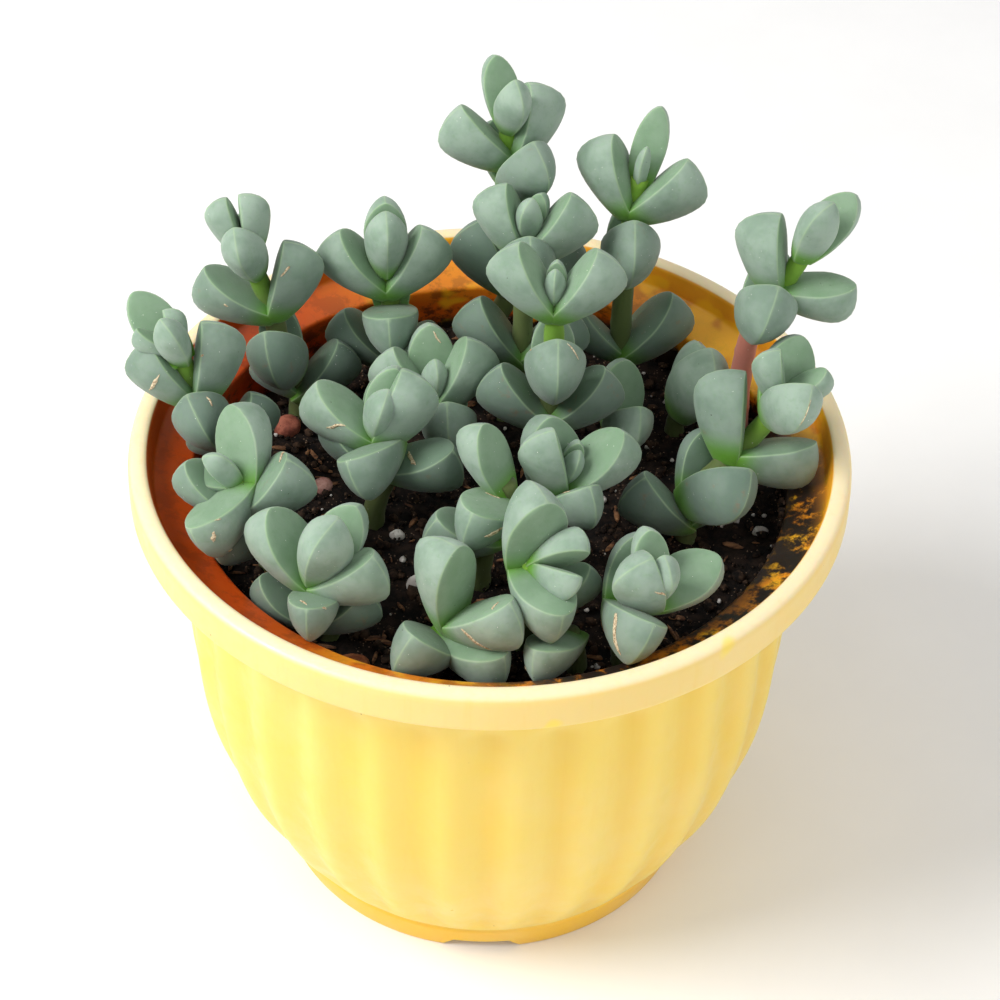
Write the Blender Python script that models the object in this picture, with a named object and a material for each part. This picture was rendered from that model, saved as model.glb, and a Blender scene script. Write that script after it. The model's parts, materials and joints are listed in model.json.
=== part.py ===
"""Potted ice plant: a fluted flower pot full of soil, with fat-leaved shoots and loose stones.

Sizes are in millimetres and become metres where a mesh is made. The pot stands on z = 0 with its
axis on the origin, and its front looks along -Y.
"""
from math import acos, atan2, cos, degrees, hypot, pi, radians, sin
from typing import NamedTuple

import bmesh
import bpy
from mathutils import Matrix, Vector, noise

MM = 0.001
GAP = 0.3
WELD = 0.05
TINY = 0.001
ON_SURFACE = 0.05
FLAT_ANGLE = 2.0
SHARP_ANGLE = 40.0

# Pot
POT_HEIGHT = 116.0
RIM_RADIUS = 80.0
LIP_INNER_RADIUS = 75.5
LIP_ROUND = 1.4
LIP_EDGE = 0.8
COLLAR_HEIGHT = 9.2
COLLAR_UNDERCUT = 1.4
COLLAR_TAPER = 0.8
SHELF_LIFT = 0.4
SHELF_RISE = 2.8
BODY_RADIUS = 69.3
BODY_TOP_RADIUS = 68.8
BODY_WIDEST_AT = 87.0
BODY_CURVE = 3.0
FOOT_RADIUS = 49.4
FOOT_BAND_RADIUS = 51.0
FOOT_BAND_HEIGHT = 8.0
FOOT_CREASE = 0.5
FOOT_CREASE_HEIGHT = 0.8
FOOT_RING_WIDTH = 4.4
FOOT_RING_SLOPE = 1.0
WALL = 2.6
INSIDE_ROWS = (84.0, 46.0, 18.0)
FLOOR_UNDERSIDE = 3.6
FLOOR_TOP = 6.4
FLOOR_RADIUS = 44.4
FLUTES = 28
FLUTE_DEPTH = 1.2
FLUTE_BOTTOM = 10.0
FLUTE_TOP = 96.0
FLUTE_ARCH = 7.0
FLUTE_ROWS = (10.0, 15.0, 40.0, 66.0, 89.0, 93.5, 96.0)
COLUMNS = 2 * FLUTES
NOTCHES = 4
NOTCH_WIDTH = 21.0
NOTCH_TOP_WIDTH = 13.0
NOTCH_HEIGHT = 3.0
NOTCH_OVERRUN = 1.0
NOTCH_INNER_RADIUS = 43.0
NOTCH_OUTER_RADIUS = 51.0
DRAIN_HOLES = 6
DRAIN_RADIUS = 4.0
DRAIN_CIRCLE_RADIUS = 28.0
DRAIN_ROD_LENGTH = 9.0
DRAIN_COLUMNS = 12

# Soil
SOIL_LEVEL = 96.0
SOIL_RELIEF = 1.6
SOIL_LUMP = 9.0
SOIL_RINGS = 5
SOIL_COLUMNS = FLUTES
STEM_DEPTH = 8.0
STEM_HOLE_EASE = 0.1
STEM_HOLE_FLARE = 1.2
PIT_COLUMNS = 8
PIT_OVERRUN = 1.0

# Leaves: width and depth as shares of the length, for a leaf of full length
FULL_LEAF = 17.0
LEAF_WIDTH = 0.77
BUD_WIDTH = 0.50
LEAF_DEPTH = 0.62
BUD_DEPTH = 0.40
LEAF_WIDEST = 0.55
LEAF_DEEPEST = 0.68
LEAF_BASE_WIDTH = 0.58
LEAF_BASE_DEPTH = 0.50
KEEL_SWEEP = 1.6
TIP_SWEEP = 1.9
TIP_BLUNTNESS = 0.60
CHIN_SWEEP = 2.4
CHIN_BLUNTNESS = 0.62
CHIN_LEAN = 0.12
SIDE_BULGE = 0.15
INNER_BULGE = 0.06
LEAF_SINK = 3.0
LEAF_COLUMNS = 6
LEAF_ROWS = 5
ROUND_OFF = 1e-6

# Stems
STEM_FOOT_RADIUS = 2.7
STEM_TIP_RADIUS = 2.1
STEM_COLUMNS = 6
STEM_ROW_LENGTH = 12.0
STEM_END = 0.5


class Pair(NamedTuple):
    """Two facing leaves: where they join the stem, each one's length and opening from it, and more.

    Turn is the first leaf's direction round the stem, from +X. Girth thins both. A length of 0 is
    an old leaf that has dropped off.
    """

    base: tuple
    lengths: tuple
    openings: tuple
    turn: float
    girth: float = 1.0


class Shoot(NamedTuple):
    """A stem from its root (x, y) up through the bases of its pairs of leaves."""

    root: tuple
    pairs: tuple


SHOOTS = {
    "shoot_back_tall": Shoot((-4, 49), (
        Pair((5.0, 52, 121.5), (17, 18), (40, 34), 10),
        Pair((4.0, 54, 148.0), (14, 17), (30, 36), 122),
        Pair((3.0, 55, 155.0), (17, 17), (20, 36), 15),
        Pair((2.5, 55, 164.0), (14, 14), (26, 22), 112, 0.85),
    )),
    "shoot_back_middle": Shoot((3, 33), (
        Pair((6.5, 34, 114.0), (16, 17), (42, 40), 0),
        Pair((7.0, 36, 134.0), (12, 17), (26, 28), 92),
        Pair((7.5, 37, 142.0), (17, 16), (28, 24), 352),
        Pair((8.0, 37, 146.0), (9, 10), (12, 10), 60),
    )),
    "shoot_centre": Shoot((13, 12), (
        Pair((13.0, 12, 114.0), (17, 17), (44, 42), 3),
        Pair((13.5, 13, 123.5), (14, 18), (26, 28), 92),
        Pair((13.5, 14, 143.5), (17, 17), (31, 29), 355),
        Pair((13.5, 14, 145.5), (8, 8), (9, 7), 84),
    )),
    "shoot_back_right": Shoot((31, 42), (
        Pair((30.0, 43, 108.5), (18, 13), (42, 40), 8),
        Pair((30.5, 46, 130.5), (14, 18), (16, 26), 92),
        Pair((31.5, 47, 147.0), (17, 17), (36, 26), 345),
        Pair((32.5, 48, 152.5), (17, 9), (16, 8), 75, 0.62),
    )),
    "shoot_right_leaning": Shoot((57, 24), (
        Pair((59.0, 22, 135.0), (15, 18), (26, 30), 80),
        Pair((64.0, 22, 144.0), (16, 17), (56, 34), 345),
        Pair((68.5, 22, 154.0), (15, 14), (24, 10), 50, 0.9),
    )),
    "shoot_right": Shoot((44, -8), (
        Pair((43.5, -8, 102.0), (14, 17), (42, 42), 18),
        Pair((45.5, -8, 108.5), (15, 18), (34, 36), 110),
        Pair((55.0, -2, 116.0), (17, 18), (42, 38), 355),
        Pair((62.5, -1, 128.0), (16, 16), (34, 32), 92),
        Pair((63.5, -1, 131.5), (11, 12), (36, 24), 0),
    )),
    "shoot_right_inner": Shoot((43, 29), (
        Pair((45.0, 29, 104.0), (14, 18), (6, 6), 100),
    )),
    "shoot_left_back": Shoot((-45, 32), (
        Pair((-45.0, 32, 104.0), (16, 12), (46, 34), 0),
        Pair((-47.5, 32, 111.0), (14, 18), (30, 30), 92),
        Pair((-51.0, 33, 127.0), (17, 17), (28, 42), 0),
        Pair((-54.5, 34, 138.0), (11, 14), (20, 22), 92),
        Pair((-55.5, 34, 143.0), (13, 13), (6, 6), 5, 0.9),
    )),
    "shoot_left_leaning": Shoot((-54, 3), (
        Pair((-59.0, 3.0, 110.0), (15, 9), (48, 38), 10),
        Pair((-62.0, 3.0, 115.5), (14, 17), (30, 30), 105),
        Pair((-65.5, 4.5, 125.0), (17, 16), (26, 16), 8),
        Pair((-68.5, 4.5, 135.5), (16, 13), (34, 22), 122, 0.85),
        Pair((-69.5, 4.5, 137.0), (9, 9), (24, 22), 15),
    )),
    "shoot_back_left": Shoot((-24, 40), (
        Pair((-23.5, 40, 108.0), (13, 16), (46, 44), 0),
        Pair((-23.5, 40, 121.5), (14, 17), (36, 62), 92),
        Pair((-24.5, 40, 129.0), (17, 17), (32, 34), 0),
        Pair((-24.5, 40, 135.0), (14, 14), (8, 3), 95),
    )),
    "shoot_centre_back": Shoot((-12, 16), (
        Pair((-9.5, 16, 105.0), (13, 17), (34, 32), 92),
        Pair((-13.0, 17, 114.0), (17, 16), (36, 24), 5),
        Pair((-13.0, 17, 115.5), (15, 10), (26, 6), 100),
    )),
    "shoot_centre_left": Shoot((-26, -5), (
        Pair((-22.0, -6, 114.5), (17, 17), (60, 56), 338),
        Pair((-23.0, -6, 120.0), (14, 17), (36, 68), 70),
        Pair((-25.0, -5, 122.0), (17, 17), (34, 36), 350),
        Pair((-24.5, -5, 124.0), (13, 12), (22, 10), 80),
    )),
    "shoot_left": Shoot((-48, -20), (
        Pair((-50.0, -21, 106.5), (12, 15), (46, 36), 62),
        Pair((-53.5, -22, 116.0), (18, 15), (46, 40), 352),
        Pair((-53.5, -22, 121.0), (17, 17), (40, 74), 60),
        Pair((-55.5, -22, 122.0), (9, 9), (26, 18), 345),
    )),
    "shoot_front_left": Shoot((-34, -41), (
        Pair((-36.0, -42, 102.0), (15, 15), (50, 50), 345),
        Pair((-35.5, -42, 110.0), (13, 15), (42, 64), 84),
        Pair((-36.0, -42, 113.0), (17, 18), (46, 42), 335),
        Pair((-35.0, -42, 116.0), (15, 16), (24, 6), 62),
    )),
    "shoot_centre_front": Shoot((13, -17), (
        Pair((15.5, -18, 115.0), (18, 15), (32, 38), 118),
        Pair((16.0, -18, 120.5), (17, 15), (36, 22), 14),
        Pair((16.5, -18, 122.0), (8, 8), (8, 6), 90),
    )),
    "shoot_front_middle": Shoot((8, -43), (
        Pair((10.5, -43, 108.5), (14, 0), (50, 50), 6),
        Pair((8.5, -44, 119.0), (18, 17), (22, 60), 108),
        Pair((11.5, -46, 121.0), (12, 11), (14, 12), 80),
    )),
    "shoot_front": Shoot((-11, -49), (
        Pair((-8.5, -49, 102.0), (0, 17), (46, 54), 50),
        Pair((-8.5, -49, 105.0), (17, 0), (66, 46), 315),
        Pair((-6.5, -50, 110.0), (18, 17), (26, 26), 140),
    )),
    "shoot_front_right": Shoot((29, -47), (
        Pair((28.5, -48, 112.0), (16, 17), (44, 52), 92),
        Pair((34.5, -48, 115.5), (16, 16), (42, 38), 32),
        Pair((34.5, -48, 118.5), (12, 12), (20, 18), 110),
    )),
    "shoot_front_low": Shoot((19, -49), (
        Pair((17.5, -49, 104.5), (0, 15), (40, 60), 60),
    )),
    "shoot_middle_low": Shoot((-2, -24), (
        Pair((0.5, -24, 110.0), (0, 16), (50, 66), 25),
        Pair((3.5, -24, 120.5), (0, 17), (50, 68), 60),
        Pair((3.5, -24, 124.0), (15, 0), (24, 30), 150),
    )),
    "shoot_middle_right": Shoot((28, 21), (
        Pair((29.5, 21, 103.0), (15, 15), (32, 32), 100),
    )),
}

# Loose stones: centre (x, y) and size (x, y, z)
STONES = {
    "pebble_clay": ((-47.5, 26.5), (6.6, 6.2, 5.4)),
    "pebble_rose": ((-38.0, 6.0), (4.6, 4.2, 3.6)),
    "pebble_orange": ((-28.5, -51.0), (8.0, 5.4, 4.4)),
    "perlite_front": ((-15.5, -26.0), (5.0, 4.6, 4.4)),
    "perlite_left": ((-20.5, -9.5), (3.4, 2.8, 2.6)),
    "perlite_right": ((61.0, -6.0), (3.6, 3.0, 2.8)),
    "bark_chip": ((46.5, -41.0), (9.0, 4.2, 2.2)),
}
STONE_SINK = 1.0
STONE_FLAT = 0.30
STONE_DETAIL = 2
STONE_LUMPS = 2.2
STONE_ROUGHNESS = 0.16
STONE_PIT_MARGIN = 0.8
STONE_PIT_FLARE = 0.5

# Colours by the first word of a piece's name: red, green, blue and roughness
COLOURS = {
    "pot": (0.93, 0.70, 0.16, 0.42),
    "soil": (0.025, 0.018, 0.014, 0.95),
    "shoot": (0.20, 0.31, 0.24, 0.55),
    "pebble": (0.28, 0.09, 0.05, 0.8),
    "perlite": (0.82, 0.80, 0.77, 0.85),
    "bark": (0.16, 0.08, 0.04, 0.9),
}


def clear_scene():
    """Remove whatever the scene holds."""
    for old in list(bpy.data.objects):
        bpy.data.objects.remove(old, do_unlink=True)


def make_material(name):
    """The material of a piece, by the first word of its name."""
    red, green, blue, rough = COLOURS[name.split("_")[0]]
    material = bpy.data.materials.new(name)
    material.use_nodes = True
    shader = material.node_tree.nodes["Principled BSDF"]
    shader.inputs["Base Color"].default_value = (red, green, blue, 1.0)
    shader.inputs["Roughness"].default_value = rough
    shader.inputs["Metallic"].default_value = 0.0
    return material


def make_object(name, shape):
    """A scene object from a bmesh in millimetres."""
    bmesh.ops.scale(shape, vec=(MM, MM, MM), verts=shape.verts)
    mesh = bpy.data.meshes.new(name)
    shape.to_mesh(mesh)
    shape.free()
    piece = bpy.data.objects.new(name, mesh)
    bpy.context.scene.collection.objects.link(piece)
    return piece


def dress(piece):
    """Give a piece its own material and smooth shading."""
    piece.data.materials.clear()
    piece.data.materials.append(make_material(piece.name))
    piece.data.shade_smooth()
    piece.data.set_sharp_from_angle(angle=radians(SHARP_ANGLE))


def turned(profile, columns):
    """A solid of revolution from (radius, height) points that start and end on the axis."""
    shape = bmesh.new()
    corners = [shape.verts.new((radius, 0.0, height)) for radius, height in profile]
    edges = [shape.edges.new(pair) for pair in zip(corners, corners[1:])]
    bmesh.ops.spin(shape, geom=corners + edges, cent=(0, 0, 0), axis=(0, 0, 1), angle=2 * pi,
                   steps=columns, use_merge=True)
    bmesh.ops.remove_doubles(shape, verts=shape.verts, dist=TINY)
    bmesh.ops.recalc_face_normals(shape, faces=shape.faces)
    return shape


def cut(piece, cutters):
    """Cut closed cutter shapes out of a piece, and remove them."""
    tools = bpy.data.collections.new(piece.name + "_cutters")
    for number, shape in enumerate(cutters):
        cutter = make_object(f"{piece.name}_cutter_{number}", shape)
        bpy.context.scene.collection.objects.unlink(cutter)
        tools.objects.link(cutter)
    combine(piece, tools, "DIFFERENCE", "EXACT")


def combine(piece, tools, operation, solver):
    """Apply one Boolean of a collection to a piece, then remove the collection's objects."""
    bpy.context.scene.collection.children.link(tools)
    boolean = piece.modifiers.new(operation.lower(), "BOOLEAN")
    boolean.operation = operation
    boolean.operand_type = "COLLECTION"
    boolean.collection = tools
    boolean.solver = solver
    bpy.context.view_layer.update()
    evaluated = piece.evaluated_get(bpy.context.evaluated_depsgraph_get())
    piece.data = bpy.data.meshes.new_from_object(evaluated)
    piece.modifiers.clear()
    for tool in list(tools.objects):
        bpy.data.objects.remove(tool, do_unlink=True)
    bpy.data.collections.remove(tools)


def keep_main_body(piece):
    """Drop sealed hollows and loose scraps that the union left, keeping the largest shell."""
    shape = bmesh.new()
    shape.from_mesh(piece.data)
    bmesh.ops.remove_doubles(shape, verts=shape.verts, dist=WELD * MM)
    shells = []
    unseen = set(shape.faces)
    while unseen:
        shell = {unseen.pop()}
        front = list(shell)
        while front:
            near = {face for edge in front.pop().edges for face in edge.link_faces} & unseen
            unseen -= near
            shell |= near
            front += near
        shells.append(shell)
    shells.sort(key=lambda shell: sum(face.calc_area() for face in shell))
    spare = [face for shell in shells[:-1] for face in shell]
    bmesh.ops.delete(shape, geom=spare, context="FACES")
    bmesh.ops.dissolve_limit(shape, angle_limit=radians(FLAT_ANGLE), verts=shape.verts, edges=shape.edges)
    bmesh.ops.triangulate(shape, faces=[face for face in shape.faces if len(face.verts) > 4])
    shape.to_mesh(piece.data)
    shape.free()


# Pot


def body_radius(height):
    """Radius over the crests of the flutes, widest a little below the collar."""
    if height >= BODY_WIDEST_AT:
        share = (height - BODY_WIDEST_AT) / (POT_HEIGHT - COLLAR_HEIGHT - BODY_WIDEST_AT)
        return BODY_RADIUS + (BODY_TOP_RADIUS - BODY_RADIUS) * share
    share = (BODY_WIDEST_AT - height) / (BODY_WIDEST_AT - FOOT_BAND_HEIGHT)
    return BODY_RADIUS + (FOOT_BAND_RADIUS - BODY_RADIUS) * share ** BODY_CURVE


def inner_radius(height):
    """Radius of the pot's inner wall below its shelf."""
    return body_radius(height) - WALL


def pot_profile():
    """The wall's outline from under the floor, round the outside and the rim, to the floor inside."""
    collar_foot = POT_HEIGHT - COLLAR_HEIGHT
    shelf = collar_foot + SHELF_LIFT
    under = [
        (0.0, FLOOR_UNDERSIDE),
        (FOOT_RADIUS - FOOT_RING_WIDTH - FOOT_RING_SLOPE, FLOOR_UNDERSIDE),
        (FOOT_RADIUS - FOOT_RING_WIDTH, 0.0),
        (FOOT_RADIUS, 0.0),
        (FOOT_BAND_RADIUS, FOOT_BAND_HEIGHT - FOOT_CREASE_HEIGHT),
        (FOOT_BAND_RADIUS - FOOT_CREASE, FOOT_BAND_HEIGHT),
    ]
    body = [(body_radius(height), height) for height in FLUTE_ROWS]
    body.append((BODY_TOP_RADIUS, collar_foot - COLLAR_UNDERCUT))
    collar = [
        (RIM_RADIUS, collar_foot),
        (RIM_RADIUS, POT_HEIGHT - LIP_ROUND),
        (RIM_RADIUS - 0.4 * LIP_ROUND, POT_HEIGHT - 0.4 * LIP_ROUND),
        (RIM_RADIUS - 1.2 * LIP_ROUND, POT_HEIGHT),
        (LIP_INNER_RADIUS + LIP_EDGE, POT_HEIGHT),
        (LIP_INNER_RADIUS, POT_HEIGHT - LIP_EDGE),
        (LIP_INNER_RADIUS - COLLAR_TAPER, shelf + SHELF_RISE),
        (inner_radius(shelf), shelf),
    ]
    inside = [(inner_radius(height), height) for height in INSIDE_ROWS]
    inside += [(FLOOR_RADIUS, FLOOR_TOP), (0.0, FLOOR_TOP)]
    return under + body + collar + inside


def carve_flutes(shape):
    """Press the shallow flutes, round-headed at the top, into the outside of the body."""
    for vert in shape.verts:
        height, radius = vert.co.z, hypot(vert.co.x, vert.co.y)
        outside = abs(radius - body_radius(height)) < ON_SURFACE
        if not outside or not FLUTE_BOTTOM < height < FLUTE_TOP:
            continue
        valley = 0.5 + 0.5 * cos(FLUTES * atan2(vert.co.y, vert.co.x))
        arch = min(1.0, (FLUTE_TOP - height) / FLUTE_ARCH)
        inset = FLUTE_DEPTH * valley * (1.0 - (1.0 - arch) ** 2)
        vert.co.xy *= (radius - inset) / radius


def notch_cutter(angle):
    """A tapered block across the foot ring, wider at the ground."""
    shape = bmesh.new()
    bmesh.ops.create_cube(shape, size=1.0)
    for vert in shape.verts:
        upper = vert.co.z > 0
        vert.co.x = NOTCH_OUTER_RADIUS if vert.co.x > 0 else NOTCH_INNER_RADIUS
        vert.co.y *= NOTCH_TOP_WIDTH if upper else NOTCH_WIDTH
        vert.co.z = NOTCH_HEIGHT if upper else -NOTCH_OVERRUN
    bmesh.ops.rotate(shape, cent=(0, 0, 0), matrix=Matrix.Rotation(angle, 3, "Z"), verts=shape.verts)
    return shape


def drain_cutter(x, y):
    """A rod down through the pot's floor."""
    shape = bmesh.new()
    middle = Matrix.Translation((x, y, 0.5 * (FLOOR_UNDERSIDE + FLOOR_TOP)))
    bmesh.ops.create_cone(shape, cap_ends=True, segments=DRAIN_COLUMNS, radius1=DRAIN_RADIUS,
                          radius2=DRAIN_RADIUS, depth=DRAIN_ROD_LENGTH, matrix=middle)
    return shape


def build_pot():
    """The fluted pot with its collar, foot ring, notches and drain holes."""
    shape = turned(pot_profile(), COLUMNS)
    carve_flutes(shape)
    pot = make_object("pot", shape)
    cutters = [notch_cutter(2 * pi * number / NOTCHES) for number in range(NOTCHES)]
    cutters.append(drain_cutter(0.0, 0.0))
    for number in range(DRAIN_HOLES):
        angle = 2 * pi * (number + 0.5) / DRAIN_HOLES
        cutters.append(drain_cutter(DRAIN_CIRCLE_RADIUS * cos(angle), DRAIN_CIRCLE_RADIUS * sin(angle)))
    cut(pot, cutters)
    dress(pot)


# Soil


def soil_height(x, y):
    """Height of the soil's lumpy surface, never above its level."""
    lump = 0.5 + 0.5 * noise.noise(Vector((x / SOIL_LUMP, y / SOIL_LUMP, 0.0)))
    return SOIL_LEVEL - SOIL_RELIEF * lump


def pit_cutter(x, y, foot_radius, top_radius, bottom):
    """A plain hole in the soil, wider at its mouth."""
    shape = bmesh.new()
    top = SOIL_LEVEL + PIT_OVERRUN
    middle = Matrix.Translation((x, y, 0.5 * (top + bottom)))
    bmesh.ops.create_cone(shape, cap_ends=True, segments=PIT_COLUMNS, radius1=foot_radius,
                          radius2=top_radius, depth=top - bottom, matrix=middle)
    return shape


def build_soil():
    """The body of soil that fills the pot, with a hole for each stem and a pit for each stone."""
    side = [(0.0, FLOOR_TOP + GAP), (FLOOR_RADIUS - GAP, FLOOR_TOP + GAP)]
    heights = (*reversed(INSIDE_ROWS), SOIL_LEVEL)
    side += [(inner_radius(height) - 2.0 * GAP, height) for height in heights]
    edge = inner_radius(SOIL_LEVEL) - 2.0 * GAP
    top = [(edge * ring / SOIL_RINGS, SOIL_LEVEL) for ring in range(SOIL_RINGS - 1, -1, -1)]
    shape = turned(side + top, SOIL_COLUMNS)
    for vert in shape.verts:
        if vert.co.z > SOIL_LEVEL - ON_SURFACE:
            vert.co.z = soil_height(vert.co.x, vert.co.y)
    soil = make_object("soil", shape)
    hole = STEM_FOOT_RADIUS + GAP + STEM_HOLE_EASE
    hole_bottom = SOIL_LEVEL - STEM_DEPTH - GAP
    mouth = hole + STEM_HOLE_FLARE
    cutters = [pit_cutter(*shoot.root, hole, mouth, hole_bottom) for shoot in SHOOTS.values()]
    for (x, y), (length, width, _) in STONES.values():
        reach = 0.5 * max(length, width) + STONE_PIT_MARGIN
        cutters.append(pit_cutter(x, y, reach, reach + STONE_PIT_FLARE, stone_floor(x, y) - GAP))
    cut(soil, cutters)
    dress(soil)


def stone_floor(x, y):
    """Height that a loose stone's flat underside lies at."""
    return soil_height(x, y) - STONE_SINK


def build_stone(name, place, size):
    """A rough lump with a flat underside, lying in its own pit."""
    shape = bmesh.new()
    bmesh.ops.create_icosphere(shape, subdivisions=STONE_DETAIL, radius=0.5)
    bmesh.ops.rotate(shape, cent=(0, 0, 0), matrix=Matrix.Rotation(place[0], 3, "Z"), verts=shape.verts)
    for vert in shape.verts:
        bump = noise.noise(vert.co * STONE_LUMPS + Vector((*place, 0.0)))
        vert.co *= 1.0 + STONE_ROUGHNESS * bump
    bmesh.ops.scale(shape, vec=size, verts=shape.verts)
    floor = -STONE_FLAT * size[2]
    for vert in shape.verts:
        vert.co.z = max(vert.co.z, floor) - floor
    bmesh.ops.dissolve_degenerate(shape, dist=TINY, edges=shape.edges)
    bmesh.ops.translate(shape, vec=(*place, stone_floor(*place)), verts=shape.verts)
    dress(make_object(name, shape))


# Shoots


def stem_joints(shoot):
    """Points of a stem with its direction at each: foot, root, and the bases of its pairs."""
    root = Vector((*shoot.root, SOIL_LEVEL))
    points = [root - Vector((0, 0, STEM_DEPTH)), root] + [Vector(pair.base) for pair in shoot.pairs]
    steps = [(upper - lower).normalized() for lower, upper in zip(points, points[1:])]
    directions = [steps[0], steps[0]]
    directions += [(before + after).normalized() for before, after in zip(steps[1:], steps[2:])]
    directions.append(steps[-1])
    return list(zip(points, directions))


def stem_stations(joints):
    """The joints, a short end above the last, and a point between those that lie far apart.

    The point is the middle of the cubic curve that leaves and arrives along the joints' directions.
    """
    stations = [joints[0]]
    for (start, leaving), (end, arriving) in zip(joints, joints[1:]):
        reach = (end - start).length
        if reach > STEM_ROW_LENGTH:
            middle = (start + end) / 2 + (leaving - arriving) * reach / 8
            direction = (6 * (end - start) / reach - leaving - arriving).normalized()
            stations.append((middle, direction))
        stations.append((end, arriving))
    end, arriving = joints[-1]
    stations[-1] = (end + arriving * STEM_END, arriving)
    return stations


def across(direction):
    """Two unit vectors across a stem, the first as near to +X as can be."""
    first = (Vector((1, 0, 0)) - direction * direction.x).normalized()
    return first, direction.cross(first)


def ball(columns, rows, place):
    """A closed ball of rings whose points are moved to place(share of length, angle round)."""
    shape = bmesh.new()
    bmesh.ops.create_uvsphere(shape, u_segments=columns, v_segments=rows, radius=1.0)
    for vert in shape.verts:
        share = 0.5 * (1.0 + min(1.0, max(-1.0, vert.co.z)))
        vert.co = place(share, atan2(vert.co.y, vert.co.x))
    bmesh.ops.recalc_face_normals(shape, faces=shape.faces)
    return shape


def width_share(share):
    """Half width of a leaf along its length, as a share of its greatest."""
    if share < LEAF_WIDEST:
        return 1.0 - (1.0 - LEAF_BASE_WIDTH) * ((LEAF_WIDEST - share) / LEAF_WIDEST) ** 2
    beyond = (share - LEAF_WIDEST) / (1.0 - LEAF_WIDEST)
    return max(0.0, 1.0 - beyond ** TIP_SWEEP) ** TIP_BLUNTNESS


def depth_share(share):
    """Depth of a leaf's keel along its length, as a share of its greatest."""
    if share < LEAF_DEEPEST:
        return 1.0 - (1.0 - LEAF_BASE_DEPTH) * ((LEAF_DEEPEST - share) / LEAF_DEEPEST) ** KEEL_SWEEP
    beyond = (share - LEAF_DEEPEST) / (1.0 - LEAF_DEEPEST)
    return max(0.0, 1.0 - beyond ** CHIN_SWEEP) ** CHIN_BLUNTNESS


def leaf_section(half_width, depth, angle):
    """A point of the three-sided section: keel below, a margin on each side, full faces between."""
    corners = ((0.0, -depth), (half_width, 0.0), (-half_width, 0.0))
    bulges = (SIDE_BULGE, INNER_BULGE, SIDE_BULGE)
    side = ((degrees(angle) + 90.0) / 120.0) % 3.0
    whole = int(side + ROUND_OFF)
    number = whole % 3
    part = max(0.0, side - whole)
    (x0, z0), (x1, z1) = corners[number], corners[(number + 1) % 3]
    swell = 4.0 * bulges[number] * part * (1.0 - part)
    return (x0 + (x1 - x0) * part + (z1 - z0) * swell,
            z0 + (z1 - z0) * part - (x1 - x0) * swell)


def build_leaf(base, direction, inward, length, girth):
    """One fat three-sided leaf from its base on the stem, its inner face looking along inward."""
    grown = min(1.0, length / FULL_LEAF)
    half_width = 0.5 * girth * length * (BUD_WIDTH + (LEAF_WIDTH - BUD_WIDTH) * grown)
    depth = girth * length * (BUD_DEPTH + (LEAF_DEPTH - BUD_DEPTH) * grown)
    sideways = inward.cross(direction)

    def place(share, angle):
        x, z = leaf_section(half_width * width_share(share), depth * depth_share(share), angle)
        chin = CHIN_LEAN * share ** 3 * max(0.0, -z) / depth
        along = (length + LEAF_SINK) * share - LEAF_SINK + length * chin
        return base + direction * along + sideways * x + inward * z

    return ball(LEAF_COLUMNS, LEAF_ROWS, place)


def build_stem(joints):
    """The stem, from its foot in the soil to just above its highest pair, with flat ends."""
    stations = stem_stations(joints)
    rows = len(stations) + 1

    def place(share, angle):
        row = round(acos(1.0 - 2.0 * share) / pi * rows)
        number = min(len(stations), max(1, row)) - 1
        point, direction = stations[number]
        if row in (0, rows):
            return point
        climb = number / (len(stations) - 1)
        radius = STEM_FOOT_RADIUS + (STEM_TIP_RADIUS - STEM_FOOT_RADIUS) * climb
        first, second = across(direction)
        return point + (first * cos(angle) + second * sin(angle)) * radius

    return ball(STEM_COLUMNS, rows, place)


def build_shoot(name, shoot):
    """A stem and its leaves, fused into one body."""
    joints = stem_joints(shoot)
    piece = make_object(name, build_stem(joints))
    leaves = bpy.data.collections.new(name + "_leaves")
    for pair, (base, direction) in zip(shoot.pairs, joints[2:]):
        first, second = across(direction)
        for side, (length, opening) in enumerate(zip(pair.lengths, pair.openings)):
            if not length:
                continue
            turn = radians(pair.turn + 180.0 * side)
            outward = first * cos(turn) + second * sin(turn)
            lean = radians(opening)
            along = outward * sin(lean) + direction * cos(lean)
            inward = direction * sin(lean) - outward * cos(lean)
            leaf = make_object(name + "_leaf", build_leaf(base, along, inward, length, pair.girth))
            bpy.context.scene.collection.objects.unlink(leaf)
            leaves.objects.link(leaf)
    # The exact solver leaves edges here that touch themselves, where two leaves of a pair meet.
    combine(piece, leaves, "UNION", "MANIFOLD")
    keep_main_body(piece)
    dress(piece)


def main():
    """Build every piece of the potted plant."""
    clear_scene()
    build_pot()
    build_soil()
    for name, (place, size) in STONES.items():
        build_stone(name, place, size)
    for name, shoot in SHOOTS.items():
        build_shoot(name, shoot)


main()
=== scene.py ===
"""Potted ice plant, dressed: a fluted yellow pot of dark soil with fat-leaved, wax-bloomed shoots.

The sizes are in millimetres, as in the part's source, and become metres where a mesh is made. The pot
stands on z = 0 with its axis on the origin, and its front looks along -Y.
"""

import json
import logging
from abc import ABC, abstractmethod
from dataclasses import dataclass, field
from enum import Enum
from math import acos, atan2, cos, degrees, hypot, pi, radians, sin, sqrt
from random import Random
from typing import Callable, Iterable, NamedTuple, Sequence

import bmesh
import bpy
from mathutils import Matrix, Vector, noise

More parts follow.
